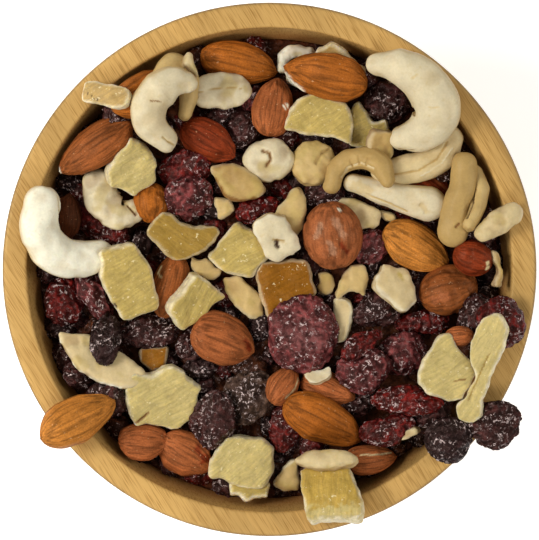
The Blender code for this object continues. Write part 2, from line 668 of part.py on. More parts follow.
def main():
    remove_everything()
    build_bowl()
    build_heap()


main()
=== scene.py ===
"""Looks of a turned bamboo bowl heaped with trail mix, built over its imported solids.

The bowl is turned afresh with finer steps. Each piece of food settles on the heap by the same rules as in
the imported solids, so that it lies in the same place, and then gets its real shape and finish. Dark fruit
fills the gaps between the pieces that show.

Metres, +Z up, origin at the centre of the bowl's flat base.
"""
from __future__ import annotations

import json
import logging
import math
from dataclasses import dataclass
from enum import Enum
from typing import Iterable, Sequence

import bmesh
import bpy
import numpy as np
from mathutils import Matrix, Vector, noise
from mathutils.bvhtree import BVHTree
from mathutils.geometry import interpolate_bezier

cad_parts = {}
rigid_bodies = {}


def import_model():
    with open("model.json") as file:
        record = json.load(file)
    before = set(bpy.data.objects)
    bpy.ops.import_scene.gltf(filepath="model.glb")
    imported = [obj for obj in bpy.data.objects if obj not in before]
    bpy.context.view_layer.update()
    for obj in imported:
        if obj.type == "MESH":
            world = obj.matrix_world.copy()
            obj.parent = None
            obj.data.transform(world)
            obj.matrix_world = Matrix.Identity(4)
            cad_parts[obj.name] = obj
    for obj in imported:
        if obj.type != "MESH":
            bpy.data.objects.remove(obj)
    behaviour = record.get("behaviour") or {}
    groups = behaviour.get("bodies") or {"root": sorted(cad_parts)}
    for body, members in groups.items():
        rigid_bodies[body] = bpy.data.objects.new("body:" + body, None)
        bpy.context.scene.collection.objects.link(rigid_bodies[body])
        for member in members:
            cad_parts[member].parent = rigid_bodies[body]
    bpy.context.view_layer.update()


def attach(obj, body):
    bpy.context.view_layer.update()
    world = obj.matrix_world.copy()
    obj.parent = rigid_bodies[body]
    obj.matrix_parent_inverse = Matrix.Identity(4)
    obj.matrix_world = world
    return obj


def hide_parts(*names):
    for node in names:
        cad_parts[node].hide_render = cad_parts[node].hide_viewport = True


LOG = logging.getLogger("trail_mix")

Form = bmesh.types.BMesh
Socket = bpy.types.NodeSocket
Triple = tuple[float, float, float]
Noises = tuple[Triple, ...]

MM = 0.001
BODY = "root"
HEAP_NODE = "trail_mix"
BOWL_NODE = "bowl"

# Places in plan: steps to the right and down from the top left corner of a square that holds the rim.
BOWL_RADIUS = 75.0 * MM
PLAN_STEP = BOWL_RADIUS / 268.6
PLAN_CENTRE = (269.3, 270.8)


class Kind(Enum):
    """What a piece of food is."""

    ALMOND = "almonds"
    HAZELNUT = "hazelnuts"
    CASHEW = "cashews"
    NUT = "pale_nuts"
    RAISIN = "raisins"
    CRANBERRY = "cranberries"
    PINEAPPLE = "pineapple"


class Shade(Enum):
    """Colours of skins, flesh and fruit, linear red, green and blue."""

    TAN = (0.44, 0.160, 0.026)
    CHESTNUT = (0.32, 0.090, 0.011)
    RUSSET = (0.32, 0.090, 0.026)
    OXBLOOD = (0.20, 0.028, 0.007)
    # Almond brown darkened as painted shade, for an almond that lies in shade.
    SHADED_UMBER = (0.085, 0.022, 0.008)
    FILBERT = (0.30, 0.088, 0.028)
    WALNUT = (0.23, 0.064, 0.015)
    FAWN = (0.43, 0.195, 0.10)
    CHALK = (0.84, 0.79, 0.61)
    IVORY = (0.66, 0.56, 0.36)
    CREAM = (0.62, 0.48, 0.25)
    BUTTER = (0.56, 0.39, 0.155)
    STRAW = (0.45, 0.29, 0.10)
    TOAST = (0.24, 0.11, 0.03)
    SUGAR = (0.78, 0.68, 0.45)
    LEMON = (0.54, 0.42, 0.16)
    OLIVE = (0.47, 0.34, 0.10)
    GOLD = (0.46, 0.30, 0.062)
    HONEY = (0.32, 0.19, 0.034)
    AMBER = (0.25, 0.090, 0.003)
    JET = (0.012, 0.005, 0.005)
    PRUNE = (0.028, 0.008, 0.007)
    PLUM = (0.105, 0.022, 0.021)
    # A paler, greyer colour painted as reflection on a glossy cranberry's centre.
    REFLECTION_MAUVE = (0.125, 0.040, 0.037)
    WINE = (0.070, 0.005, 0.004)
    CHERRY = (0.09, 0.004, 0.003)
    SMOKE = (0.050, 0.028, 0.018)
    BARK = (0.045, 0.013, 0.005)


def plan_point(place: Sequence[float]) -> Vector:
    """Turn a place in plan into metres from the bowl's axis.

    Args:
        place: Steps to the right and down.

    Returns:
        The place as x and y.
    """
    return Vector(((place[0] - PLAN_CENTRE[0]) * PLAN_STEP, (PLAN_CENTRE[1] - place[1]) * PLAN_STEP))


def turn_form(form: Form, matrix: Matrix) -> None:
    """Turn a whole form about the origin."""
    bmesh.ops.rotate(form, verts=form.verts, cent=(0, 0, 0), matrix=matrix)


def ball(sides: int, rings: int) -> Form:
    """Make a ball of radius 1 whose poles lie on the X axis.

    Args:
        sides: Faces round the X axis.
        rings: Faces from pole to pole.

    Returns:
        The ball.
    """
    form = bmesh.new()
    bmesh.ops.create_uvsphere(form, u_segments=sides, v_segments=rings, radius=1.0)
    turn_form(form, Matrix.Rotation(math.radians(90.0), 3, "Y"))
    return form


@dataclass(frozen=True)
class Mark:
    """A small feature on the upper side of a piece.

    Attributes:
        places: Plan places along it.
        width: Width in mm.
        shade: Its colour.
        depth: How far it is cut in, in mm, or stands proud where it is negative.
    """

    places: tuple[tuple[float, float], ...]
    width: float
    shade: Shade
    depth: float = 0.0


@dataclass(frozen=True)
class Egg:
    """A rounded piece, pointed towards its turn.

    Attributes:
        kind: What it is.
        place: Plan place of its middle.
        turn: Degrees anticlockwise from +X.
        length: Length in mm.
        width: Width in mm.
        height: Height in mm.
        point: How pointed it is, from 0 to 1.
        over_rim: Whether it may lie on the rim.
        shade: Its colour, or None for the usual one of its kind.
        marks: Small features on it.
    """

    kind: Kind
    place: tuple[float, float]
    turn: float
    length: float
    width: float
    height: float
    point: float = 0.0
    over_rim: bool = False
    shade: Shade | None = None
    marks: tuple[Mark, ...] = ()

    def middle(self) -> Vector:
        """Give the plan place of its middle in metres."""
        return plan_point(self.place)

    def solid(self, sides: int, rings: int) -> Form:
        """Shape the piece about its own middle.

        Args:
            sides: Faces round it.
            rings: Faces along it.

        Returns:
            The piece, untilted.
        """
        form = ball(sides, rings)
        half = Vector((self.length, self.width, self.height)) * 0.5 * MM
        for vert in form.verts:
            along = vert.co.x
            taper = max(1.0 - along * along, 0.0) ** (POINT_TAPER * self.point * max(along, 0.0))
            taper *= 1.0 - POINT_SLIMMING * self.point * along
            vert.co = (along * half.x, vert.co.y * taper * half.y, vert.co.z * taper * half.z)
        turn_form(form, Matrix.Rotation(math.radians(self.turn), 3, "Z"))
        return form

    def rough_solid(self) -> Form:
        """Shape the few-sided piece that settles on the heap."""
        return self.solid(EGG_SIDES, EGG_RINGS)

    def grain(self, points: np.ndarray) -> np.ndarray:
        """Give each point a place on the skin: a little way along, then round a circle.

        Args:
            points: Points about the piece's middle.

        Returns:
            One grain vector for each point.
        """
        angle = math.radians(self.turn)
        along = (points[:, 0] * math.cos(angle) + points[:, 1] * math.sin(angle)) / (0.5 * self.length * MM)
        across = (points[:, 1] * math.cos(angle) - points[:, 0] * math.sin(angle)) / (0.5 * self.width * MM)
        up = points[:, 2] / (0.5 * self.height * MM)
        girth = np.maximum(np.hypot(across, up), 1e-6) ** GRAIN_SPREAD
        return np.column_stack((GRAIN_STRETCH * along, across / girth, up / girth))


@dataclass(frozen=True)
class Bean:
    """A curved piece.

    Attributes:
        kind: What it is.
        places: Plan places along its middle.
        widths: Its width at each place, in mm.
        height: Height in mm.
        over_rim: Whether it may lie on the rim.
        shade: Its colour, or None for the usual one of its kind.
        marks: Small features on it.
    """

    kind: Kind
    places: tuple[tuple[float, float], ...]
    widths: tuple[float, ...]
    height: float
    over_rim: bool = False
    shade: Shade | None = None
    marks: tuple[Mark, ...] = ()

    def middle_line(self, steps: int) -> tuple[list[Vector], np.ndarray]:
        """Follow the smooth curve through the bean's places.

        Args:
            steps: How many even steps to take.

        Returns:
            Even points along the curve, and the width in metres at each.
        """
        knots = [plan_point(p).to_3d() for p in self.places]
        knots = [2 * knots[0] - knots[1]] + knots + [2 * knots[-1] - knots[-2]]
        line, widths = [], []
        for i in range(1, len(knots) - 2):
            tangents = [(knots[i + k + 1] - knots[i + k - 1]) / 6.0 for k in (0, 1)]
            handles = knots[i] + tangents[0], knots[i + 1] - tangents[1]
            curve = interpolate_bezier(knots[i], *handles, knots[i + 1], CURVE_POINTS + 1)
            for k in range(CURVE_POINTS):
                share = k / CURVE_POINTS
                line.append(curve[k])
                widths.append(self.widths[i - 1] * (1 - share) + self.widths[i] * share)
        line.append(knots[-2])
        widths.append(self.widths[-1])
        lengths = [0.0]
        for a, b in zip(line, line[1:]):
            lengths.append(lengths[-1] + (b - a).length)
        stops = np.linspace(0.0, lengths[-1], steps + 1)
        xs = np.interp(stops, lengths, [p.x for p in line])
        ys = np.interp(stops, lengths, [p.y for p in line])
        return [Vector((x, y)) for x, y in zip(xs, ys)], np.interp(stops, lengths, widths) * MM

    def middle(self) -> Vector:
        """Give the plan place of its middle in metres."""
        line = self.middle_line(BEAN_STEPS)[0]
        return sum(line, Vector((0, 0))) / len(line)

    def stops(self, steps: int, caps: int) -> list[tuple[Vector, float]]:
        """Give the centre and width of each ring from one rounded end to the other.

        Args:
            steps: Steps along the middle line.
            caps: Rings in each rounded end.

        Returns:
            Centres about the piece's middle, with widths in metres.
        """
        line, widths = self.middle_line(steps)
        middle = self.middle()
        line = [p - middle for p in line]
        ends = ((line[0] - line[1]).normalized(), (line[-1] - line[-2]).normalized())
        arcs = [math.pi / 2 * i / (caps + 1) for i in range(caps + 1, 0, -1)]
        first = [(line[0] + ends[0] * widths[0] * 0.5 * math.sin(a), widths[0] * math.cos(a)) for a in arcs]
        last = [(line[-1] + ends[1] * widths[-1] * 0.5 * math.sin(a), widths[-1] * math.cos(a)) for a in arcs]
        return first + list(zip(line, widths)) + last[::-1]

    def solid(self, sides: int, steps: int, caps: int) -> Form:
        """Shape the piece about its own middle.

        Args:
            sides: Faces round it.
            steps: Faces along it, without its ends.
            caps: Rings in each rounded end.

        Returns:
            The piece, untilted.
        """
        stops = self.stops(steps, caps)
        widest = max(width for _, width in stops)
        form = ball(sides, len(stops) - 1)
        reach = max(1, steps // BEND_STEPS)
        for vert in form.verts:
            ring = round(math.acos(max(-1.0, min(1.0, -vert.co.x))) / math.pi * (len(stops) - 1))
            place, width = stops[ring]
            before = stops[max(ring - reach, 0)][0]
            after = stops[min(ring + reach, len(stops) - 1)][0]
            along = (after - before).normalized()
            side = Vector((-along.y, along.x))
            bend = 0.0
            if reach < ring < len(stops) - 1 - reach:
                step = (after - before).length * 0.5
                bend = (after - 2 * place + before).dot(side) / (step * step)
            girth = max(math.hypot(vert.co.y, vert.co.z), 1e-9)
            out = vert.co.y / girth * width * 0.5
            if out * bend > BEND_LIMIT:
                out = BEND_LIMIT / bend
            up = vert.co.z / girth * self.height * MM * 0.5 * (width / widest) ** BEAN_THINNING
            vert.co = (place.x + side.x * out, place.y + side.y * out, up)
        return form

    def rough_solid(self) -> Form:
        """Shape the few-sided piece that settles on the heap."""
        return self.solid(BEAN_SIDES, BEAN_STEPS, 1)

    def grain(self, points: np.ndarray) -> np.ndarray:
        """Give each point a place on the skin: a little way along, then its offset from the middle line.

        Args:
            points: Points about the piece's middle.

        Returns:
            One grain vector for each point.
        """
        stops = self.stops(GRAIN_STEPS, 1)
        line = np.array([p for p, _ in stops])
        gaps = np.linalg.norm(points[:, None, :2] - line[None], axis=2)
        nearest = gaps.argmin(axis=1)
        along = nearest / (len(stops) - 1) * 2.0 - 1.0
        out = gaps[np.arange(len(points)), nearest] / (0.5 * max(self.widths) * MM)
        return np.column_stack((BEAN_GRAIN_STRETCH * along, out, points[:, 2] / (0.5 * self.height * MM)))


@dataclass(frozen=True)
class Slab:
    """A cut or broken piece.

    Attributes:
        kind: What it is.
        places: Plan places of its corners.
        height: Height in mm.
        over_rim: Whether it may lie on the rim.
        shade: Its colour, or None for the usual one of its kind.
        marks: Small features on it.
        round_over: How far in from its outline its face curves down, in mm.
        fibres: Degrees anticlockwise from +X along which its fibres run.
        ragged: How uneven its outline is, as a share of what is usual for its kind.
    """

    kind: Kind
    places: tuple[tuple[float, float], ...]
    height: float
    over_rim: bool = False
    shade: Shade | None = None
    marks: tuple[Mark, ...] = ()
    round_over: float = 1.0
    fibres: float = 30.0
    ragged: float = 1.0

    def middle(self) -> Vector:
        """Give the plan place of its middle in metres."""
        outline = [plan_point(p) for p in self.places]
        return sum(outline, Vector((0, 0))) / len(outline)

    def outline(self) -> list[Vector]:
        """Give its corners about its middle."""
        return [plan_point(p) - self.middle() for p in self.places]

    def block(self) -> Form:
        """Raise the outline to the piece's height, about its own middle."""
        form = bmesh.new()
        base = form.faces.new([form.verts.new(corner.to_3d()) for corner in self.outline()])
        raised = bmesh.ops.extrude_face_region(form, geom=[base])["geom"]
        top = [part for part in raised if isinstance(part, bmesh.types.BMVert)]
        bmesh.ops.translate(form, verts=top, vec=(0, 0, self.height * MM))
        bmesh.ops.translate(form, verts=form.verts, vec=(0, 0, -0.5 * self.height * MM))
        return form

    def solid(self) -> Form:
        """Shape the piece about its own middle, its upright corners rounded."""
        form = self.block()
        upright = [edge for edge in form.edges if edge.verts[0].co.z * edge.verts[1].co.z < 0.0]
        ease(form, upright, CORNER_RADIUS, CORNER_SEGMENTS)
        return form

    def rough_solid(self) -> Form:
        """Shape the few-sided piece that settles on the heap."""
        form = self.block()
        rims = [edge for edge in form.edges if edge.verts[0].co.z * edge.verts[1].co.z > 0.0]
        ease(form, rims, min(EDGE_SHARE * self.height * MM, EDGE_MOST), 1)
        return form

    def grain(self, points: np.ndarray) -> np.ndarray:
        """Give each point its place along the fibres and across them.

        Args:
            points: Points about the piece's middle.

        Returns:
            One grain vector for each point.
        """
        angle = math.radians(self.fibres)
        along = points[:, 0] * math.cos(angle) + points[:, 1] * math.sin(angle)
        across = points[:, 1] * math.cos(angle) - points[:, 0] * math.sin(angle)
        return np.column_stack((along, across, points[:, 2])) / GRAIN_UNIT


def ease(form: Form, edges: list[bmesh.types.BMEdge], width: float, segments: int) -> None:
    """Bevel edges of a form.

    Args:
        form: The form.
        edges: The edges.
        width: How far the bevel reaches.
        segments: Its steps.
    """
    bmesh.ops.bevel(form, geom=edges, offset=width, segments=segments, profile=0.5, affect="EDGES",
                    clamp_overlap=True, material=-1)
    bmesh.ops.recalc_face_normals(form, faces=form.faces)


Piece = Egg | Bean | Slab
ALMOND, HAZELNUT, CASHEW, NUT, RAISIN, CRANBERRY, PINEAPPLE = Kind
(TAN, CHESTNUT, RUSSET, OXBLOOD, SHADED_UMBER, FILBERT, WALNUT, FAWN, CHALK, IVORY, CREAM, BUTTER, STRAW, TOAST,
 SUGAR, LEMON, OLIVE, GOLD, HONEY, AMBER, JET, PRUNE, PLUM, REFLECTION_MAUVE, WINE, CHERRY, SMOKE, BARK) = Shade

# The bowl.
RIM_HEIGHT = 64.0 * MM
RIM_WIDTH = 7.2 * MM
BASE_RADIUS = 35.0 * MM
FLOOR_THICKNESS = 8.5 * MM
EQUATOR_HEIGHT = RIM_HEIGHT + 2.0 * MM
OUTER_ROUNDING = 1.3 * MM
INNER_ROUNDING = 0.9 * MM
BOWL_SIDES = 54
FACET_ALLOWANCE = 1.0 / math.cos(math.pi / BOWL_SIDES)
WALL_STEPS = 7

# The core of the heap, measured down from the rim.
CORE_DROP_AT_WALL = 11.5 * MM
CORE_DROP_AT_CENTRE = 9.0 * MM
CORE_GAP = 0.35 * MM

# How a dropped piece comes to rest.
CELL = 1.0 * MM
REST_GAP = 0.4 * MM
WALL_CLEARANCE = 1.2 * MM
SINK = 1.2 * MM
THIN = 5.0
STEEPEST = math.radians(22.0)
FIRM_SHARE = 0.85
THIN_FIRM_SHARE = 0.95
LEAN_STEP = math.radians(3.0)
LEAN_STEPS = 8
GRID_REACH = 1.15 * BOWL_RADIUS
BOWL_MARGIN = 0.8 * CELL
LEVEL = 1e-4
THICK_SHARE = 0.6
SHOWN_SHARE = 0.97
PUSHES = 20
BARE_MARGIN = 0.1 * MM

# Fineness of the pieces that settle.
EGG_SIDES = 8
EGG_RINGS = 6
BEAN_SIDES = 8
BEAN_STEPS = 7
CURVE_POINTS = 12
EDGE_SHARE = 0.25
EDGE_MOST = 1.0 * MM

# How a rounded piece narrows to its point, and how a curved one keeps clear of the inside of its own bend.
POINT_TAPER = 0.3
POINT_SLIMMING = 0.25
BEND_STEPS = 8
BEND_LIMIT = 0.8
BEAN_THINNING = 0.7

# Grain: places on a skin or in flesh that a finish reads.
GRAIN_STRETCH = 0.14
GRAIN_SPREAD = 0.6
BEAN_GRAIN_STRETCH = 3.0 * GRAIN_STRETCH
GRAIN_STEPS = 4 * BEAN_STEPS
GRAIN_UNIT = 10.0 * MM
GRAIN_SHIFT = 2.7

# Cut and broken pieces, as they show.
CORNER_RADIUS = 1.7 * MM
CORNER_SEGMENTS = 3
VOXEL = 0.42 * MM
WAVE_SIZE = 4.5 * MM
WAVE_SHIFT = 0.3
EDGE_THICKNESS = 0.35
# Width of the pale rim along a cut or broken piece's outline: painted highlight, with sugar crust on
# pineapple.
PALE_RIM_WIDTH = 1.0 * MM

# Small features: the width in mm from which one is ragged, how ragged it is, and how sharp its borders are.
RAGGED = 1.3
RAGGED_SHARE = 0.7
RAGGED_SIZE = 1.6 * MM
MARK_SHARPNESS = 1.6

# The pieces that show, in the order in which they lie, the lowest first.
PIECES: tuple[Piece, ...] = (
    Egg(RAISIN, (122, 112), 30, 14, 13, 14),
    Egg(RAISIN, (105, 398), 30, 14, 13, 15),
    Egg(RAISIN, (329, 475), 0, 18, 13, 13),
    Egg(RAISIN, (431, 413), 50, 14, 13, 16.5),
    Egg(RAISIN, (479, 321), 80, 16, 13, 16.5),
    Egg(RAISIN, (481, 229), 80, 14, 12, 14),
    Egg(CRANBERRY, (97, 218), -50, 24, 14, 7, shade=WINE),
    # This almond's colour is painted shade: almond brown darkened for the shade it lies in.
    Egg(ALMOND, (64, 217), 80, 14, 9, 8, 0.5, shade=SHADED_UMBER),
    Egg(ALMOND, (135, 80), 33, 22, 11.5, 8, 0.6,
        marks=(Mark(((154, 61), (157, 66)), 1.6, CHALK),)),
    Bean(CASHEW, ((160, 76), (171, 65), (184, 70), (189, 90), (185, 112)), (6, 7.5, 7, 6.5, 5), 7,
         shade=BUTTER),
    Slab(NUT, ((186, 53), (193, 56), (199, 78), (194, 82), (184, 66)), 5, shade=CREAM),
    Slab(PINEAPPLE, ((314, 50), (319, 40), (331, 34), (341, 38), (354, 50), (368, 62), (367, 74),
                     (360, 82), (340, 80), (318, 66)), 4, shade=STRAW,
         marks=(Mark(((322, 39), (330, 35)), 1.2, TOAST),
                Mark(((362, 68), (361, 80)), 2.0, TOAST))),
    Bean(NUT, ((281, 66), (285, 55), (296, 49), (309, 51)), (4, 4, 4, 4), 4, shade=CHALK),
    Slab(CASHEW, ((279, 69), (292, 72), (308, 77), (307, 91), (296, 88), (286, 80)), 3, shade=CHALK),
    Egg(RAISIN, (240, 128), 60, 14, 12, 8),
    Egg(RAISIN, (213, 116), 20, 12, 9, 7),
    Egg(CRANBERRY, (253, 97), 60, 10, 8, 6, shade=PLUM),
    Egg(RAISIN, (388, 101), 30, 16, 14, 8),
    Egg(ALMOND, (429, 187), -35, 17, 12, 8, 0.5, shade=OXBLOOD,
        marks=(Mark(((421, 173), (434, 178), (447, 190)), 0.9, FILBERT),)),
    Egg(RAISIN, (446, 168), 20, 10, 9, 7, shade=BARK),
    Bean(CASHEW, ((470, 124), (463, 139), (445, 150), (420, 157), (400, 158)), (7.5, 9, 9.5, 8.5, 6), 8,
         shade=CREAM,
         marks=(Mark(((466, 128), (456, 145), (437, 157), (410, 161)), 0.8, STRAW, 0.4),
                Mark(((471, 134), (460, 150), (440, 162)), 0.5, IVORY, -0.2))),
    Egg(CRANBERRY, (60, 305), 70, 16, 14, 7, shade=WINE),
    Egg(RAISIN, (92, 298), -60, 17, 11, 8, shade=PLUM),
    Egg(RAISIN, (76, 378), 0, 12, 10, 7),
    Slab(NUT, ((55, 331), (88, 334), (120, 352), (147, 374), (135, 390), (118, 390), (95, 384),
               (75, 371), (61, 350)), 3.2, shade=CREAM, round_over=1.2, ragged=0.1,
         # Painted highlight: a thin pale rim along the outer edge.
         marks=(Mark(((54, 333), (60, 350), (75, 372), (95, 385), (119, 391)), 1.2, CHALK),)),
    Slab(PINEAPPLE, ((135, 350), (167, 347), (165, 370), (150, 376), (138, 368)), 4.5, shade=AMBER),
    Egg(RAISIN, (147, 333), 5, 19, 11.5, 7),
    Egg(RAISIN, (104, 338), 80, 17, 10.5, 8, shade=JET),
    Egg(RAISIN, (200, 366), 20, 12, 9, 7, shade=JET),
    Egg(RAISIN, (192, 345), 60, 12, 10, 7),
    Egg(RAISIN, (247, 400), 45, 19, 16, 8, shade=SMOKE),
    Egg(ALMOND, (184, 458), -30, 17, 13.5, 9, 0.4, shade=RUSSET,
        marks=(Mark(((198, 452), (204, 462)), 3.5, OXBLOOD),)),
    Egg(RAISIN, (213, 423), 75, 18, 15, 8),
    Egg(CRANBERRY, (286, 430), 80, 16, 10.5, 7, shade=WINE),
    Egg(RAISIN, (356, 408), 10, 14, 9, 6),
    Egg(ALMOND, (283, 388), 50, 12.5, 9.5, 7, 0.4, shade=RUSSET,
        marks=(Mark(((297, 381), (292, 391), (282, 400)), 0.8, CREAM),)),
    Egg(ALMOND, (328, 391), -20, 17, 9.5, 7, 0.5, shade=RUSSET),
    Egg(ALMOND, (371, 462), 5, 16.5, 9, 8, 0.8, shade=RUSSET,
        marks=(Mark(((357, 459), (376, 459), (392, 456)), 0.6, CREAM),)),
    Slab(NUT, ((300, 462), (286, 467), (274, 479), (271, 490), (280, 499), (300, 500)), 4.5,
         shade=BUTTER, round_over=2.2,
         # Painted highlight: a thin pale rim along the outline.
         marks=(Mark(((294, 464), (279, 475), (272, 488), (279, 497), (298, 500)), 1.2, IVORY),)),
    Slab(PINEAPPLE, ((227, 487), (270, 487), (269, 503), (251, 505), (245, 509), (240, 503),
                     (229, 502)), 3.5, shade=OLIVE),
    Slab(NUT, ((396, 432), (418, 424), (422, 432), (403, 443)), 3.5, shade=CREAM),
    Egg(ALMOND, (459, 336), 10, 8.5, 6.5, 6, 0.3, shade=RUSSET),
    Egg(RAISIN, (325, 193), 15, 14, 10, 7),
    Egg(RAISIN, (373, 247), 60, 13, 11, 7, shade=PLUM),
    Egg(RAISIN, (378, 312), 20, 15, 12, 7),
    Egg(CRANBERRY, (425, 324), 5, 17, 8.5, 6, shade=WINE),
    Egg(CRANBERRY, (256, 210), 15, 14, 9, 6, shade=CHERRY),
    Egg(ALMOND, (169, 285), 75, 20, 11, 8, 0.5, shade=WALNUT,
        marks=(Mark(((160, 268), (157, 274), (161, 279)), 0.8, CREAM, -0.2),)),
    Egg(HAZELNUT, (473, 258), -20, 11.5, 10.5, 9, shade=OXBLOOD,
        marks=(Mark(((487, 258), (488, 266)), 1.4, CREAM),)),
    Slab(NUT, ((490, 250), (499, 252), (503, 270), (502, 290), (493, 290), (494, 270)), 3.5,
         shade=STRAW),
    Bean(NUT, ((482, 233), (496, 223), (510, 213)), (5.5, 7, 6.5), 6, True, shade=CREAM),
    Slab(PINEAPPLE, ((352, 105), (362, 97), (368, 110), (371, 120), (388, 118), (392, 130), (385, 146),
                     (368, 152), (350, 147), (344, 128)), 4.5, shade=OLIVE),
    Slab(NUT, ((370, 128), (392, 128), (394, 160), (380, 166), (366, 150)), 4.5, shade=STRAW),
    Slab(NUT, ((218, 276), (240, 278), (262, 300), (265, 316), (258, 325), (240, 310), (222, 292)), 4,
         shade=BUTTER),
    Slab(NUT, ((188, 254), (205, 260), (224, 272), (214, 281), (196, 278), (186, 265)), 4,
         shade=BUTTER),
    Slab(NUT, ((214, 196), (230, 199), (237, 208), (228, 219), (218, 221)), 4.5, shade=BUTTER),
    Egg(NUT, (313, 163), 60, 13.5, 12.5, 8, shade=BUTTER,
        marks=(Mark(((330, 150), (322, 155), (316, 165)), 1.2, STRAW, 0.9),)),
    Egg(NUT, (268, 160), 10, 15, 12.5, 9, shade=IVORY,
        marks=(Mark(((262, 151), (269, 153), (271, 160), (266, 166)), 1.2, TOAST, 0.9),)),
    Slab(NUT, ((298, 184), (305, 192), (308, 212), (303, 235), (285, 235), (272, 214), (286, 198)), 7,
         shade=BUTTER, round_over=4.0),
    Slab(NUT, ((334, 199), (352, 199), (374, 205), (383, 212), (382, 228), (370, 234), (350, 228)), 5,
         shade=CREAM, round_over=2.2),
    Slab(NUT, ((380, 210), (398, 213), (399, 223), (384, 225)), 4, shade=BUTTER),
    Slab(NUT, ((334, 296), (340, 275), (352, 264), (366, 263), (371, 280), (366, 297), (350, 293),
               (340, 300)), 4, shade=BUTTER, round_over=1.8),
    Slab(NUT, ((318, 270), (333, 274), (337, 288), (328, 299), (316, 292)), 4, shade=STRAW),
    Slab(CASHEW, ((334, 299), (350, 300), (356, 310), (355, 328), (347, 344), (334, 344)), 4,
         shade=CREAM),
    Slab(CASHEW, ((299, 368), (316, 372), (332, 366), (333, 380), (316, 388), (303, 383)), 3.5,
         shade=IVORY),
    Egg(ALMOND, (92, 145), 213, 25, 12.5, 8, 0.5, shade=WALNUT,
        marks=(Mark(((54, 166), (56, 174)), 1.3, CHALK),)),
    Egg(ALMOND, (238, 55), -14, 23, 13, 8.5, 0.6, shade=CHESTNUT),
    Egg(ALMOND, (273, 107), 80, 17.5, 12.5, 8, 0.4, shade=RUSSET,
        marks=(Mark(((278, 105), (281, 108), (285, 105), (281, 103)), 0.5, CHALK, -0.3),)),
    Egg(ALMOND, (325, 76), 168, 24.5, 14, 9, 0.7, shade=CHESTNUT,
        marks=(Mark(((284, 77), (292, 83), (301, 90)), 2.6, CHALK, -0.3),)),
    Egg(ALMOND, (208, 141), -30, 18, 12.5, 8, 0.7, shade=OXBLOOD),
    Egg(NUT, (220, 90), 5, 18, 11, 6, shade=IVORY,
        marks=(Mark(((196, 92), (208, 90), (222, 87), (240, 88)), 0.5, STRAW, 0.4),
               Mark(((188, 95), (195, 97)), 1.2, TOAST, 0.6))),
    Bean(NUT, ((97, 185), (103, 202), (118, 214), (131, 211)), (10, 11, 10, 7), 7, shade=IVORY,
         marks=(Mark(((125, 208), (133, 217)), 0.8, TOAST, 0.6),)),
    Slab(PINEAPPLE, ((87, 81), (104, 84), (131, 88), (137, 97), (132, 111), (118, 111), (100, 107),
                     (83, 104), (82, 93)), 3.5, True, shade=STRAW, round_over=0.8, ragged=0.4,
         marks=(Mark(((90.5, 95), (91, 95.5)), 0.7, BARK, 0.2),
                Mark(((94.5, 97), (95, 97.5)), 0.7, BARK, 0.2),
                Mark(((97, 101), (97.5, 101)), 0.7, BARK, 0.2),
                Mark(((101, 101.5), (101.5, 102)), 0.7, BARK, 0.2))),
    Egg(HAZELNUT, (150, 203), 90, 11.5, 10.5, 10, shade=CHESTNUT),
    Egg(CRANBERRY, (184, 168), 15, 17, 12.5, 7, shade=WINE),
    Slab(NUT, ((209, 167), (230, 161), (244, 165), (262, 180), (268, 193), (258, 200), (240, 203),
               (225, 199), (215, 182)), 6.5, shade=STRAW, round_over=3.5, ragged=0.5,
         marks=(Mark(((216, 180), (226, 197), (242, 202), (262, 199)), 1.6, TOAST),)),
    Bean(CASHEW, ((187, 84), (176, 83), (161, 90), (151, 106), (153, 126), (167, 142)),
         (6.5, 9, 11.5, 11, 10, 7.5), 9.5, shade=IVORY,
         marks=(Mark(((148, 98), (154, 98), (159, 99)), 0.5, TOAST, 0.3),
                Mark(((162, 136), (168, 141), (175, 145)), 0.6, STRAW, 0.4))),
    Egg(CRANBERRY, (187, 200), 0, 16.5, 14.5, 8, shade=PLUM),
    Bean(CASHEW, ((331, 184), (336, 169), (350, 160), (368, 159), (382, 168), (388, 181)),
         (5.5, 6.5, 7, 7.5, 7, 5), 7, shade=STRAW,
         marks=(Mark(((342, 178), (349, 169), (363, 165), (376, 171)), 0.7, CREAM, 0.3),
                Mark(((352, 162), (354, 168)), 0.9, STRAW, 0.35),
                Mark(((361, 159), (361, 166)), 0.9, STRAW, 0.35),
                Mark(((371, 160), (368, 167)), 0.9, STRAW, 0.35))),
    Bean(CASHEW, ((353, 183), (376, 190), (402, 198), (429, 204)), (5.5, 7, 8.5, 10.5), 8, shade=IVORY,
         marks=(Mark(((423, 202), (427, 206)), 2.0, CREAM, 0.5),
                Mark(((368, 192), (392, 201), (408, 209)), 0.9, BUTTER, 0.25),
                Mark(((354, 184), (368, 188)), 5.0, CREAM))),
    Bean(CASHEW, ((475, 172), (480, 189), (477, 207), (469, 227)), (5.5, 6, 5.5, 4.5), 7, shade=BUTTER,
         marks=(Mark(((474, 186), (472, 206), (466, 222)), 0.9, BARK, 0.8),)),
    Bean(CASHEW, ((464, 165), (463, 184), (456, 206), (453, 231)), (8, 8, 8, 9.5), 8, shade=STRAW,
         marks=(Mark(((459, 227), (462, 224)), 1.0, TOAST, 0.5),)),
    Bean(CASHEW, ((42, 204), (39, 223), (46, 244), (63, 257), (84, 260), (102, 257)),
         (11, 11.5, 12, 11.5, 11, 9.5), 10, True, shade=CHALK,
         marks=(Mark(((55, 197), (57, 212), (60, 229)), 0.7, BUTTER, 0.5),)),
    Bean(CASHEW, ((378, 66), (398, 67), (420, 81), (434, 103), (431, 124), (415, 137), (399, 141)),
         (7.5, 11, 13, 14, 13.5, 10.5, 7), 10.5, True, shade=IVORY,
         marks=(Mark(((415, 74), (419, 71)), 1.0, CREAM, 0.15),
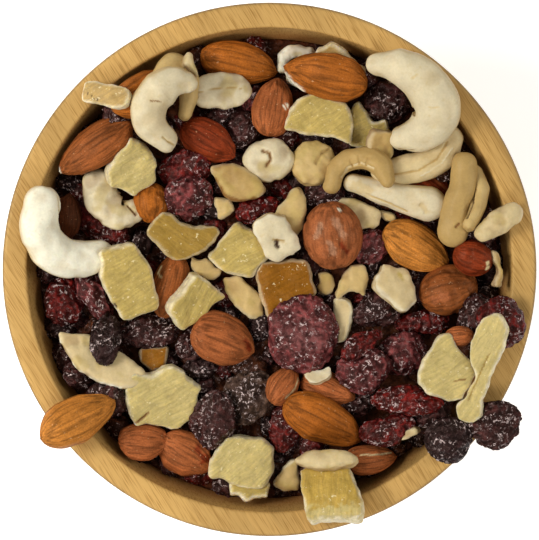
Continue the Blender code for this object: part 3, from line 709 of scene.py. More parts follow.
                Mark(((431, 103), (440, 103)), 0.6, CREAM, 0.15),
                Mark(((396, 150), (404, 152), (413, 150)), 0.6, STRAW, 0.3))),
    Egg(HAZELNUT, (450, 291), 15, 17, 14.5, 10, shade=WALNUT,
        marks=(Mark(((440, 303), (452, 300)), 3.2, FILBERT),)),
    Egg(ALMOND, (418, 248), -30, 21.5, 13.5, 8.5, 0.6, shade=TAN),
    Slab(CASHEW, ((371, 288), (382, 262), (397, 268), (410, 270), (416, 285), (419, 305), (403, 317),
                  (390, 305), (380, 295)), 6, shade=CREAM, round_over=2.2,
         marks=(Mark(((392, 310), (398, 316)), 0.9, TOAST),
                Mark(((399, 276), (402, 282)), 1.4, OLIVE))),
    Egg(HAZELNUT, (333, 236), 95, 19.5, 17, 13, shade=FILBERT,
        marks=(Mark(((324, 222), (318, 234)), 2.4, FAWN, 0.2),
               Mark(((338, 218), (346, 232)), 2.8, FAWN, 0.3),
               Mark(((332, 240), (336, 250)), 2.2, FAWN, 0.2),
               Mark(((344, 242), (350, 250)), 1.6, OXBLOOD, 0.3),
               # Painted highlight: a small pale spot for a glint on the skin.
               Mark(((340, 207), (342, 209)), 0.8, CHALK))),
    Slab(PINEAPPLE, ((144, 232), (152, 218), (161, 211), (171, 214), (182, 222), (200, 226), (217, 224),
                     (219, 234), (206, 250), (186, 262), (176, 265), (160, 250)), 6, shade=HONEY,
         fibres=-35),
    Slab(PINEAPPLE, ((162, 309), (180, 285), (192, 272), (205, 280), (227, 297), (210, 310), (195, 325),
                     (182, 330), (173, 325)), 7, shade=OLIVE, fibres=60),
    Slab(PINEAPPLE, ((97, 246), (113, 245), (132, 240), (150, 262), (154, 285), (159, 311), (140, 317),
                     (122, 322), (107, 297), (98, 278)), 7, shade=OLIVE,
         marks=(Mark(((112, 303), (114, 306)), 0.9, BARK, 0.3),)),
    Slab(PINEAPPLE, ((252, 270), (262, 262), (308, 258), (318, 296), (300, 310), (268, 322)), 7,
         shade=AMBER),
    Slab(PINEAPPLE, ((235, 220), (262, 235), (273, 250), (265, 262), (250, 280), (222, 273), (203, 258),
                     (215, 245), (226, 232)), 7, shade=OLIVE),
    Slab(CASHEW, ((251, 225), (262, 215), (272, 212), (284, 215), (291, 225), (301, 243), (300, 250),
                  (292, 257), (275, 264), (264, 258)), 5, shade=IVORY, round_over=2.6,
         marks=(Mark(((276, 241), (278, 246)), 1.7, BARK, 0.8),
                Mark(((272, 238), (283, 240)), 0.8, STRAW, 0.2))),
    Slab(PINEAPPLE, ((127, 133), (152, 148), (158, 165), (155, 181), (134, 197), (107, 186), (103, 172),
                     (110, 157)), 6, shade=LEMON),
    Slab(PINEAPPLE, ((282, 129), (287, 110), (300, 97), (313, 92), (331, 97), (348, 104), (356, 121),
                     (350, 145), (332, 138), (305, 134)), 6, shade=OLIVE),
    # Painted reflection: a paler, greyer centre where the glossy skin reflects the light.
    Egg(CRANBERRY, (304, 336), 88, 24, 22, 9, shade=PLUM,
        marks=(Mark(((298, 335), (308, 340)), 13.0, REFLECTION_MAUVE),)),
    Egg(CRANBERRY, (403, 357), 20, 17, 14, 8, shade=PLUM),
    Egg(CRANBERRY, (364, 372), 20, 18, 13.5, 8, shade=PLUM),
    Egg(CRANBERRY, (362, 346), 35, 15.5, 8, 5, shade=WINE),
    Egg(CRANBERRY, (388, 431), 10, 18, 9.5, 7, shade=WINE),
    Egg(CRANBERRY, (407, 402), -5, 22.5, 10, 7, shade=CHERRY),
    Egg(CRANBERRY, (500, 320), -70, 16.5, 15, 6.5, 0, True, shade=WINE),
    Egg(RAISIN, (494, 423), 15, 17.5, 15, 7, 0, True, shade=PRUNE),
    Egg(RAISIN, (446, 439), 10, 15, 14.5, 8, 0, True, shade=JET),
    Slab(PINEAPPLE, ((466, 352), (473, 325), (486, 310), (500, 313), (507, 326), (505, 342), (494, 362),
                     (490, 380), (481, 400), (481, 412), (470, 424), (455, 420), (451, 408), (465, 392),
                     (474, 372)), 3.5, True, shade=LEMON, fibres=60,
         marks=(Mark(((488, 352), (476, 378), (467, 398)), 0.6, HONEY, 0.3),)),
    Slab(PINEAPPLE, ((414, 380), (420, 360), (432, 340), (441, 331), (450, 333), (456, 346), (470, 360),
                     (475, 372), (462, 402), (445, 402), (424, 392)), 4, shade=LEMON,
         marks=(Mark(((452, 380), (463, 378)), 0.5, TOAST, 0.3),)),
    Egg(ALMOND, (223, 341), -20, 20, 15.5, 9, 0.6, shade=RUSSET,
        marks=(Mark(((243, 343), (249, 352)), 2.2, OXBLOOD),)),
    Egg(ALMOND, (141, 446), 0, 15.5, 11.5, 8, 0.4, shade=RUSSET),
    Slab(PINEAPPLE, ((121, 388), (124, 375), (132, 371), (150, 374), (160, 368), (172, 366), (182, 370),
                     (188, 378), (202, 388), (198, 402), (192, 424), (175, 433), (160, 431), (132, 427),
                     (126, 415)), 5.5, shade=LEMON,
         marks=(Mark(((133, 424), (139, 419), (146, 413)), 1.0, TOAST, 0.6),)),
    Egg(ALMOND, (79, 418), 27, 24.5, 13.5, 9, 0.6, True, shade=TAN,
        marks=(Mark(((119, 407), (110, 422), (100, 432)), 0.9, CREAM),)),
    Egg(ALMOND, (324, 424), -28, 25.5, 14, 9, 0.7, shade=CHESTNUT,
        marks=(Mark(((345, 452), (358, 450), (365, 444)), 0.8, CREAM),)),
    Slab(PINEAPPLE, ((225, 438), (240, 437), (262, 440), (273, 448), (275, 462), (273, 480), (262, 494),
                     (240, 491), (225, 487), (208, 482), (206, 470), (212, 455)), 7, shade=LEMON,
         fibres=40),
    Slab(PINEAPPLE, ((298, 472), (315, 463), (340, 463), (353, 468), (358, 490), (364, 505), (363, 520),
                     (335, 521), (308, 523), (303, 500)), 9, True, shade=GOLD, fibres=90,
         marks=(Mark(((306, 517), (335, 514), (361, 513)), 4.5, LEMON),)),
    Egg(NUT, (326, 458), 0, 17.5, 6, 7, shade=CREAM),
)


def wall_radius(z: float, radius: float, depth: float) -> float:
    """Find the radius of an ellipsoid below the bowl's widest level.

    Args:
        z: Height.
        radius: The ellipsoid's radius.
        depth: The ellipsoid's depth.

    Returns:
        Its radius at that height.
    """
    share = min((EQUATOR_HEIGHT - z) / depth, 1.0)
    return radius * math.sqrt(1.0 - share * share)


def hollow_profile(steps: int) -> list[tuple[float, float]]:
    """Follow the bowl's inner surface from under the rim's lip down to the floor's middle.

    Args:
        steps: How many steps to take.

    Returns:
        Points of radius and height.
    """
    mouth = BOWL_RADIUS - RIM_WIDTH
    depth = EQUATOR_HEIGHT - FLOOR_THICKNESS
    lip = math.asin((EQUATOR_HEIGHT - RIM_HEIGHT + INNER_ROUNDING) / depth)
    angles = [lip + (math.pi / 2 - lip) * i / steps for i in range(steps + 1)]
    return [(mouth * math.cos(a), EQUATOR_HEIGHT - depth * math.sin(a)) for a in angles]


def inner_radius(z: float) -> float:
    """Give the radius of the bowl's inner surface at a height."""
    radii, heights = zip(*reversed(hollow_profile(WALL_STEPS)))
    return float(np.interp(z, heights, radii))


def core_top(r: float) -> float:
    """Give the height of the core's domed top at a radius."""
    wall = RIM_HEIGHT - CORE_DROP_AT_WALL
    rise = CORE_DROP_AT_WALL - CORE_DROP_AT_CENTRE
    return wall + rise * (1.0 - min(r / inner_radius(wall), 1.0) ** 2)


def turned(profile: Sequence[tuple[float, float]], steps: int) -> Form:
    """Spin a section about Z.

    Args:
        profile: Points of radius and height that start and end on the axis.
        steps: Steps of the spin.

    Returns:
        The closed solid.
    """
    form = bmesh.new()
    points = [form.verts.new((r, 0.0, z)) for r, z in profile]
    edges = [form.edges.new(pair) for pair in zip(points, points[1:])]
    bmesh.ops.spin(form, geom=points + edges, cent=(0, 0, 0), axis=(0, 0, 1), angle=math.tau,
                   steps=steps, use_merge=True)
    bmesh.ops.remove_doubles(form, verts=form.verts, dist=0.001 * MM)
    bmesh.ops.recalc_face_normals(form, faces=form.faces)
    return form


@dataclass(frozen=True)
class Laid:
    """A piece that has come to rest.

    Attributes:
        piece: The piece.
        tilt: How it is tilted.
        place: Where its middle lies.
    """

    piece: Piece
    tilt: Matrix
    place: Vector


@dataclass(frozen=True)
class Trial:
    """One way for a piece to lie.

    Attributes:
        tilt: How it is tilted.
        cells: The cells under it.
        height: Height of its middle.
        held: How far the bowl holds it off the food.
    """

    tilt: Matrix
    cells: np.ndarray
    height: float
    held: float


class Pile:
    """What a dropped piece can land on: the height of the food and of the bowl over a square grid."""

    def __init__(self) -> None:
        """Start with the core alone in the bowl."""
        self.reach = GRID_REACH
        count = int(2 * self.reach / CELL) + 1
        self.axis = np.linspace(-self.reach, self.reach, count)
        self.step = self.axis[1] - self.axis[0]
        self.radii = np.hypot(*np.meshgrid(self.axis, self.axis, indexing="ij"))
        self.mouth = BOWL_RADIUS - RIM_WIDTH
        self.food = np.vectorize(core_top)(self.radii)
        self.food[self.radii > inner_radius(RIM_HEIGHT - CORE_DROP_AT_WALL)] = 0.0
        self.core = self.food.copy()
        radii, heights = zip(*reversed(hollow_profile(WALL_STEPS)))
        self.bowl = np.interp(self.radii * FACET_ALLOWANCE + BOWL_MARGIN, radii, heights, right=RIM_HEIGHT)
        self.bowl[self.radii > BOWL_RADIUS + CELL] = 0.0

    def shadow(self, form: Form, place: Vector) -> np.ndarray:
        """Find the cells under a piece.

        Args:
            form: The piece about its middle.
            place: Where its middle stands in plan.

        Returns:
            Rows of cell numbers, and the heights of its underside and its top there.
        """
        tree = BVHTree.FromBMesh(form)
        points = np.array([vert.co for vert in form.verts])
        start = np.array(place) + self.reach
        first = ((start + points.min(axis=0)[:2]) / self.step).astype(int)
        last = ((start + points.max(axis=0)[:2]) / self.step).astype(int) + 2
        cells = []
        for i in range(max(first[0], 0), min(last[0], len(self.axis))):
            for j in range(max(first[1], 0), min(last[1], len(self.axis))):
                x, y = self.axis[i] - place[0], self.axis[j] - place[1]
                under = tree.ray_cast(Vector((x, y, -1.0)), Vector((0, 0, 1)))[0]
                above = tree.ray_cast(Vector((x, y, 1.0)), Vector((0, 0, -1)))[0]
                if under and above:
                    cells.append((i, j, under.z, above.z))
        return np.array(cells)

    def ground_slope(self, cells: np.ndarray) -> Matrix:
        """Give the tilt that lays a flat piece along what lies under these cells."""
        i, j = cells[:, 0].astype(int), cells[:, 1].astype(int)
        ground = np.maximum(self.food[i, j], self.bowl[i, j])
        sheet = np.column_stack((self.axis[i], self.axis[j], np.ones(len(i))))
        rise_x, rise_y = np.linalg.lstsq(sheet, ground, rcond=None)[0][:2]
        steepness = math.atan(math.hypot(rise_x, rise_y))
        if steepness < LEVEL:
            return Matrix.Identity(3)
        return Matrix.Rotation(min(steepness, STEEPEST), 3, Vector((rise_y, -rise_x, 0.0)))

    def trial(self, form: Form, place: Vector, tilt: Matrix, thin: bool) -> Trial:
        """See how a piece rests with this tilt.

        Args:
            form: The piece about its middle, untilted.
            place: Where its middle stands in plan.
            tilt: The tilt to try.
            thin: Whether it is a thin piece.

        Returns:
            The trial.
        """
        leaning = form.copy()
        turn_form(leaning, tilt)
        cells = self.shadow(leaning, place)
        leaning.free()
        i, j = cells[:, 0].astype(int), cells[:, 1].astype(int)
        food = self.food[i, j]
        fed = food > 0.0
        firm = THIN_FIRM_SHARE if thin else FIRM_SHARE
        on_food = np.quantile((food - cells[:, 2])[fed], firm) - SINK if fed.any() else 0.0
        on_bowl = np.max(self.bowl[i, j] - cells[:, 2]) + REST_GAP
        depth = cells[:, 3] - cells[:, 2]
        thick = depth > THICK_SHARE * np.max(depth)
        shows = np.quantile((food - cells[:, 3])[thick], SHOWN_SHARE)
        return Trial(tilt, cells, max(on_food, on_bowl, shows), max(on_bowl - max(on_food, shows), 0.0))

    def drop(self, piece: Piece) -> Laid:
        """Lower a piece onto the heap, and let it become part of what the next one lands on.

        A piece that the bowl holds off the food leans across the rim until it is low and touches both.

        Args:
            piece: The piece.

        Returns:
            The piece where it lies.
        """
        form = piece.rough_solid()
        place = piece.middle()
        if not piece.over_rim:
            place = self.inside(form, place)
        thin = piece.height < THIN
        flat = self.trial(form, place, Matrix.Identity(3), thin)
        best = self.trial(form, place, self.ground_slope(flat.cells), thin)
        if best.held > 0.0:
            along_rim = Vector((-place[1], place[0], 0.0))
            angles = [k * LEAN_STEP for k in range(-LEAN_STEPS, LEAN_STEPS + 1)]
            leans = [Matrix.Rotation(angle, 3, along_rim) for angle in angles]
            tries = [self.trial(form, place, lean, thin) for lean in leans]
            best = min(tries, key=lambda one: one.height + one.held)
        form.free()
        i, j = best.cells[:, 0].astype(int), best.cells[:, 1].astype(int)
        self.food[i, j] = np.maximum(self.food[i, j], best.cells[:, 3] + best.height)
        return Laid(piece, best.tilt, Vector((place[0], place[1], best.height)))

    def inside(self, form: Form, place: Vector) -> Vector:
        """Move a piece towards the axis until it is clear of the bowl's wall.

        Args:
            form: The piece about its middle.
            place: Where its middle stands in plan.

        Returns:
            Where its middle stands then.
        """
        limit = self.mouth - WALL_CLEARANCE
        points = np.array([vert.co for vert in form.verts])[:, :2]
        reach = np.linalg.norm(points + np.array(place), axis=1).max()
        for _ in range(PUSHES):
            if reach <= limit:
                break
            place = place * float(1.0 - (reach - limit) / place.length)
            reach = np.linalg.norm(points + np.array(place), axis=1).max()
        return place

    def bare(self, place: Vector, reach: float) -> float:
        """Give the share of the core that still shows round a place."""
        near = np.hypot(*np.meshgrid(self.axis - place[0], self.axis - place[1], indexing="ij")) < reach
        return float(np.mean(self.food[near] <= self.core[near] + BARE_MARGIN))


class Nodes:
    """A material's nodes, joined up to its one shader."""

    def __init__(self, name: str, roughness: float) -> None:
        """Start a material.

        Args:
            name: The material's name.
            roughness: The shader's roughness where nothing else sets it.
        """
        self.material = bpy.data.materials.new(name)
        self.material.use_nodes = True
        self.tree = self.material.node_tree
        self.shader = self.tree.nodes["Principled BSDF"]
        self.set("Roughness", roughness)

    def set(self, socket: str, value: float | tuple[float, ...]) -> None:
        """Set a value on the shader's own socket."""
        self.shader.inputs[socket].default_value = value

    def into(self, socket: str, source: Socket) -> None:
        """Join a pattern to one of the shader's sockets."""
        self.tree.links.new(source, self.shader.inputs[socket])

    def node(self, kind: str, **inputs: object) -> bpy.types.Node:
        """Add a node.

        Args:
            kind: The node's type, without the word that all types start with.
            **inputs: A value or a socket for each input, its name in lower case with underscores.

        Returns:
            The node.
        """
        node = self.tree.nodes.new("ShaderNode" + kind)
        for name, value in inputs.items():
            self.feed(next(one for one in node.inputs if one.name.lower().replace(" ", "_") == name), value)
        return node

    def feed(self, socket: Socket, value: object) -> None:
        """Give an input a value, or join a pattern to it."""
        if isinstance(value, Socket):
            self.tree.links.new(value, socket)
        else:
            socket.default_value = value

    def gloss(self, level: float, tint: Triple) -> None:
        """Set how much the surface reflects, and the tint of what it reflects."""
        self.set("Specular IOR Level", level)
        self.set("Specular Tint", (*tint, 1.0))

    def glow(self, share: float, radius: Triple, depth: float) -> None:
        """Let light into the surface.

        Args:
            share: How much of it.
            radius: How far red, green and blue go, as shares of the depth.
            depth: The depth.
        """
        self.set("Subsurface Weight", share)
        self.set("Subsurface Radius", radius)
        self.set("Subsurface Scale", depth)

    def attribute(self, name: str, output: str) -> Socket:
        """Read one of the piece's own attributes."""
        node = self.node("Attribute")
        node.attribute_name = name
        return node.outputs[output]

    def places(self) -> Socket:
        """Read places on the object, in metres."""
        return self.node("TexCoord").outputs["Object"]

    def mapped(self, vector: Socket, scale: Triple, turn: float = 0.0) -> Socket:
        """Stretch places, then turn them about Z.

        Args:
            vector: The places.
            scale: How far to stretch them each way.
            turn: Degrees.

        Returns:
            The new places.
        """
        rotation = (0.0, 0.0, math.radians(turn))
        return self.node("Mapping", vector=vector, scale=scale, rotation=rotation).outputs["Vector"]

    def noise(self, vector: Socket, scale: float, detail: float = 3.0, roughness: float = 0.55) -> Socket:
        """Add smooth noise.

        Args:
            vector: Where it is read.
            scale: Cells for each unit.
            detail: Octaves.
            roughness: Share that each octave keeps.

        Returns:
            The noise, from 0 to 1.
        """
        node = self.node("TexNoise", vector=vector, scale=scale, detail=detail, roughness=roughness)
        return node.outputs["Factor"] if "Factor" in node.outputs else node.outputs["Fac"]

    def noises(self, kinds: Iterable[Triple]) -> list[Socket]:
        """Read several noises on the object, each by its cells in a metre, octaves and roughness."""
        return [self.noise(self.places(), *kind) for kind in kinds]

    def spread(self, value: Socket, low: float, high: float, bottom: float = 0.0, top: float = 1.0) -> Socket:
        """Spread a range of values over another, held at its ends.

        Args:
            value: The values.
            low: Value that becomes bottom.
            high: Value that becomes top.
            bottom: Lowest result.
            top: Highest result.

        Returns:
            The new values.
        """
        node = self.node("MapRange", value=value, from_min=low, from_max=high, to_min=bottom, to_max=top)
        return node.outputs["Result"]

    def scaled(self, colour: Socket, factor: Socket) -> Socket:
        """Make a colour lighter or darker by a factor."""
        node = self.tree.nodes.new("ShaderNodeVectorMath")
        node.operation = "SCALE"
        self.tree.links.new(colour, node.inputs[0])
        self.tree.links.new(factor, node.inputs["Scale"])
        return node.outputs["Vector"]

    def maths(self, operation: str, first: Socket, second: Socket | float) -> Socket:
        """Work out a pattern from two.

        Args:
            operation: What to do with them.
            first: The first.
            second: The second, or a number.

        Returns:
            The new pattern.
        """
        node = self.tree.nodes.new("ShaderNodeMath")
        node.operation = operation
        self.tree.links.new(first, node.inputs[0])
        self.feed(node.inputs[1], second)
        return node.outputs[0]

    def mixed(self, factor: Socket, first: Socket | tuple[float, ...],
              second: Socket | tuple[float, ...]) -> Socket:
        """Mix two colours.

        Args:
            factor: Share of the second.
            first: A colour or a socket.
            second: A colour or a socket.

        Returns:
            The mixed colour.
        """
        node = self.tree.nodes.new("ShaderNodeMix")
        node.data_type = "RGBA"
        self.tree.links.new(factor, node.inputs["Factor"])
        for socket, value in zip((node.inputs[6], node.inputs[7]), (first, second)):
            self.feed(socket, value if isinstance(value, Socket) else (*value, 1.0))
        return node.outputs[2]

    def bump(self, height: Socket, distance: float, strength: float = 1.0) -> None:
        """Raise relief on the surface, over any relief that it already has.

        Args:
            height: The relief, from 0 to 1.
            distance: Its depth in metres.
            strength: Its strength.
        """
        node = self.node("Bump", height=height, distance=distance, strength=strength)
        under = self.shader.inputs["Normal"].links
        if under:
            self.tree.links.new(under[0].from_socket, node.inputs["Normal"])
        self.into("Normal", node.outputs["Normal"])


@dataclass(frozen=True)
class BambooFinish:
    """Laminated bamboo, oiled: parallel strips whose dark fibres all run one way in plan.

    Attributes:
        pale: Colour between the fibres.
        dark: Colour of the fibres.
        stain: Colour painted on the inside lower down: painted shade with the fruit's reflected colour.
        fibre_turn: Degrees by which the plan is turned to bring the fibres onto X.
        fibre_cells: Noise cells in a metre along the fibres, across them and up.
        streak_cells: The same for wider streaks.
        cloud_cells: The same for slow changes of tone.
        strip_width: Width of a strip.
        painted_edge_shade: How dark the painted shade on the outer edge of the rim is, as a share.
        roughness: Lowest and highest roughness.
        relief: Depth of the fibres.
    """

    pale: Triple = (0.59, 0.350, 0.110)
    dark: Triple = (0.32, 0.155, 0.032)
    stain: Triple = (0.24, 0.075, 0.020)
    fibre_turn: float = 58.0
    fibre_cells: Triple = (150.0, 3000.0, 800.0)
    streak_cells: Triple = (40.0, 1300.0, 400.0)
    cloud_cells: Triple = (12.0, 50.0, 50.0)
    strip_width: float = 6.0 * MM
    painted_edge_shade: float = 0.45
    roughness: tuple[float, float] = (0.40, 0.55)
    relief: float = 0.06 * MM

    def material(self) -> bpy.types.Material:
        """Make the material."""
        nodes = Nodes("bamboo_finish", self.roughness[0])
        nodes.gloss(0.25, (1.0, 0.85, 0.6))
        turned_plan = nodes.mapped(nodes.places(), (1.0, 1.0, 1.0), self.fibre_turn)
        fibres = nodes.noise(nodes.mapped(turned_plan, self.fibre_cells), 1.0, 1.0)
        streaks = nodes.noise(nodes.mapped(turned_plan, self.streak_cells), 1.0, 2.0)
        clouds = nodes.noise(nodes.mapped(turned_plan, self.cloud_cells), 1.0, 2.0)
        colour = nodes.mixed(nodes.spread(fibres, 0.52, 0.72, 0.0, 0.75), self.pale, self.dark)
        colour = nodes.mixed(nodes.spread(streaks, 0.53, 0.70, 0.0, 0.50), colour, self.dark)
        colour = nodes.scaled(colour, nodes.spread(clouds, 0.3, 0.7, 0.86, 1.08))
        across = nodes.node("SeparateXYZ", vector=turned_plan).outputs["Y"]
        tone = nodes.node("TexWhiteNoise")
        tone.noise_dimensions = "1D"
        nodes.feed(tone.inputs["W"], nodes.maths("SNAP", across, self.strip_width))
        colour = nodes.scaled(colour, nodes.spread(tone.outputs["Value"], 0.0, 1.0, 0.90, 1.06))
        # Painted shade on the outer rounding of the rim, read from the edge attribute.
        edge = nodes.attribute("edge", "Fac")
        colour = nodes.scaled(colour, nodes.spread(edge, 0.0, 1.0, 1.0, self.painted_edge_shade))
        # Painted shade with the fruit's reflected colour, darker and redder deeper inside the bowl.
        colour = nodes.mixed(nodes.attribute("stain", "Fac"), colour, self.stain)
        nodes.into("Base Color", colour)
        nodes.into("Roughness", nodes.spread(fibres, 0.3, 0.7, *self.roughness))
        nodes.bump(fibres, self.relief, 0.5)
        return nodes.material


@dataclass(frozen=True)
class SkinFinish:
    """The brown skin of an almond or a hazelnut, with furrows along it and fine dust.

    Attributes:
        name: The material's name.
        furrows: How many furrows, as noise cells for each unit of grain.
        contrast: How much paler the ridges are than the furrows: the skin's own streaks, with painted shade
            in the furrows.
        relief: Depth of the furrows.
        roughness: Roughness of the skin.
        dust: Colour of the dust.
        noises: Cells in a metre, octaves and roughness for patches, dust and pores.
        dust_relief: How far the dust stands out.
    """

    name: str
    furrows: float
    contrast: float
    relief: float
    roughness: float
    dust: Triple = (0.62, 0.38, 0.19)
    noises: Noises = ((240.0, 3.0, 0.55), (1300.0, 2.0, 0.55), (2200.0, 2.0, 0.55))
    dust_relief: float = 0.05 * MM

    def material(self) -> bpy.types.Material:
        """Make the material."""
        nodes = Nodes(self.name, self.roughness)
        tint = nodes.attribute("tint", "Color")
        grain = nodes.attribute("grain", "Vector")
        furrows = nodes.noise(grain, self.furrows, 2.0, 0.5)
        lines = nodes.noise(grain, 2.0 * self.furrows, 2.0, 0.5)
        patches, dust, pores = nodes.noises(self.noises)
        dark, pale = 1.0 - 2.4 * self.contrast, 1.0 + self.contrast
        # Darker in the furrows of the relief, paler on its ridges: the skin's own streaks with painted shade
        # and light.
        colour = nodes.scaled(tint, nodes.spread(furrows, 0.38, 0.52, dark, pale))
        colour = nodes.scaled(colour, nodes.spread(lines, 0.36, 0.52, dark, pale))
        colour = nodes.scaled(colour, nodes.spread(pores, 0.36, 0.60, 0.80, 1.08))
        colour = nodes.scaled(colour, nodes.spread(patches, 0.3, 0.7, 0.82, 1.16))
        colour = nodes.mixed(nodes.spread(dust, 0.69, 0.75, 0.0, 0.6), colour, self.dust)
        nodes.into("Base Color", colour)
        nodes.gloss(0.16, (1.0, 0.75, 0.5))
        nodes.into("Roughness", nodes.spread(furrows, 0.3, 0.7, self.roughness + 0.08, self.roughness - 0.06))
        nodes.bump(furrows, self.relief)
        nodes.bump(lines, 0.6 * self.relief)
        nodes.bump(dust, self.dust_relief, 0.6)
        return nodes.material


@dataclass(frozen=True)
class FleshFinish:
    """Bare nut flesh: smooth, waxy, with soft blotches and small dents.

    Attributes:
        name: The material's name.
        glow: How far light goes in, as a share.
        roughness: Roughness of the surface.
        relief: Depth of the dents.
        gold: Colour that shows in the dents.
        noises: Cells in a metre, octaves and roughness for blotches, pores and dents.
        pore_relief: Depth of the pores.
    """

    name: str
    glow: float
    roughness: float
    relief: float
    gold: Triple = (0.56, 0.38, 0.12)
    noises: Noises = ((190.0, 3.0, 0.55), (1500.0, 2.0, 0.55), (620.0, 3.0, 0.55))
    pore_relief: float = 0.05 * MM

    def material(self) -> bpy.types.Material:
        """Make the material."""
        nodes = Nodes(self.name, self.roughness)
        tint = nodes.attribute("tint", "Color")
        blotches, pores, dents = nodes.noises(self.noises)
        colour = nodes.scaled(tint, nodes.spread(blotches, 0.3, 0.7, 0.92, 1.07))
        colour = nodes.mixed(nodes.spread(dents, 0.56, 0.80, 0.0, 0.32), colour, self.gold)
        colour = nodes.scaled(colour, nodes.spread(pores, 0.3, 0.7, 0.95, 1.04))
        nodes.into("Base Color", colour)
        nodes.gloss(0.2, (1.0, 0.9, 0.7))
        nodes.glow(self.glow, (1.0, 0.7, 0.35), 1.5 * MM)
        nodes.bump(dents, self.relief)
        nodes.bump(pores, self.pore_relief, 0.6)
        return nodes.material


@dataclass(frozen=True)
class DarkFruitFinish:
    """The wrinkled, sticky skin of a raisin or a dried cranberry, with painted glints on its folds.

    Attributes:
        name: The material's name.
        bloom: Colour of the dull bloom on the folds.
        relief: Depth of the fine wrinkles.
        gloss: How much the skin reflects.
        painted_glints: How bright the painted glints on the folds are, as a share.
        painted_glint_colour: Colour of the painted glints, pale spots standing in for highlights.
        noises: Cells in a metre, octaves and roughness for wrinkles, grit, dots and patches.
    """

    name: str
    bloom: Triple
    relief: float
    gloss: float = 0.18
    painted_glints: float = 0.6
    painted_glint_colour: Triple = (0.72, 0.57, 0.53)
    noises: Noises = ((620.0, 3.0, 0.6), (1700.0, 3.0, 0.6), (900.0, 2.0, 0.55), (230.0, 3.0, 0.55))

    def material(self) -> bpy.types.Material:
        """Make the material."""
        nodes = Nodes(self.name, 0.3)
        tint = nodes.attribute("tint", "Color")
        wrinkles, grit, dots, patches = nodes.noises(self.noises)
        # Painted shade and light: darker in the hollows of the wrinkle relief, paler on its crests.
        colour = nodes.scaled(tint, nodes.spread(wrinkles, 0.35, 0.65, 0.35, 1.65))
        colour = nodes.scaled(colour, nodes.spread(patches, 0.35, 0.65, 0.5, 1.5))
        colour = nodes.mixed(nodes.spread(grit, 0.58, 0.74, 0.0, 0.4), colour, self.bloom)
        # Painted glints: pale spots on thin bands along the wrinkles' crests, standing in for highlights.
        crests = nodes.spread(wrinkles, 0.49, 0.52)
        crests = nodes.maths("MULTIPLY", crests, nodes.spread(wrinkles, 0.57, 0.54))
        crests = nodes.maths("MULTIPLY", crests, nodes.spread(patches, 0.56, 0.44, 0.1, 1.0))
        painted_glints = nodes.maths("MULTIPLY", crests, nodes.spread(dots, 0.48, 0.60, 0.0, self.painted_glints))
        colour = nodes.mixed(painted_glints, colour, self.painted_glint_colour)
        nodes.into("Base Color", colour)
        nodes.gloss(self.gloss, (1.0, 0.6, 0.5))
        nodes.into("Roughness", nodes.spread(wrinkles, 0.35, 0.65, 0.36, 0.22))
        nodes.bump(wrinkles, self.relief)
        nodes.bump(grit, 0.4 * self.relief)
        return nodes.material


@dataclass(frozen=True)
class SugaredFinish:
    """Sugared dried fruit, half clear: fibres, sugar grains, a pale crust and painted glints.

    Attributes:
        name: The material's name.
        crust_and_highlight: Colour of the sugar, used for the painted glints.
        glow: How far light goes in, as a share.
        fibre_cells: Noise cells along the fibres, across them and up, for each unit of grain.
        noises: Cells in a metre, octaves and roughness for grains, clouds and painted glints.
        fibre_relief: Depth of the fibres.
        grain_relief: Height of the sugar grains.
    """

    name: str = "pineapple_finish"
    crust_and_highlight: Triple = (0.80, 0.70, 0.42)
    glow: float = 0.3
    fibre_cells: Triple = (1.6, 14.0, 8.0)
    noises: Noises = ((1500.0, 3.0, 0.6), (260.0, 3.0, 0.55), (850.0, 3.0, 0.6))
    fibre_relief: float = 0.22 * MM
    grain_relief: float = 0.14 * MM

    def material(self) -> bpy.types.Material:
        """Make the material."""
        nodes = Nodes(self.name, 0.42)
        tint = nodes.attribute("tint", "Color")
        fibres = nodes.noise(nodes.mapped(nodes.attribute("grain", "Vector"), self.fibre_cells), 1.0, 3.0)
        grains, clouds, painted_glints = nodes.noises(self.noises)
        colour = nodes.scaled(tint, nodes.spread(clouds, 0.3, 0.7, 0.88, 1.12))
        colour = nodes.scaled(colour, nodes.spread(grains, 0.32, 0.68, 0.92, 1.08))
        colour = nodes.scaled(colour, nodes.spread(fibres, 0.35, 0.70, 0.86, 1.14))
        # Painted glints: pale spots of the sugar's colour standing in for highlights.
        colour = nodes.mixed(nodes.spread(painted_glints, 0.64, 0.70, 0.0, 0.75), colour, self.crust_and_highlight)
        nodes.into("Base Color", colour)
        nodes.gloss(0.25, (1.0, 0.9, 0.6))
        nodes.glow(self.glow, (1.0, 0.8, 0.25), 2.0 * MM)
        nodes.into("Roughness", nodes.spread(grains, 0.35, 0.65, 0.26, 0.6))
        nodes.bump(fibres, self.fibre_relief, 0.7)
        nodes.bump(grains, self.grain_relief)
        return nodes.material


@dataclass(frozen=True)
class PlainFinish:
    """One plain colour.

    Attributes:
        name: The material's name.
        colour: Linear red, green and blue.
        roughness: Roughness of the surface.
        light: How much light it gives off.
    """

    name: str
    colour: Triple
    roughness: float
    light: float = 0.0

    def material(self) -> bpy.types.Material:
        """Make the material."""
        nodes = Nodes(self.name, self.roughness)
        nodes.set("Base Color", (*self.colour, 1.0))
        nodes.set("Emission Color", (*self.colour, 1.0))
        nodes.set("Emission Strength", self.light)
        return nodes.material


Finish = SkinFinish | FleshFinish | DarkFruitFinish | SugaredFinish


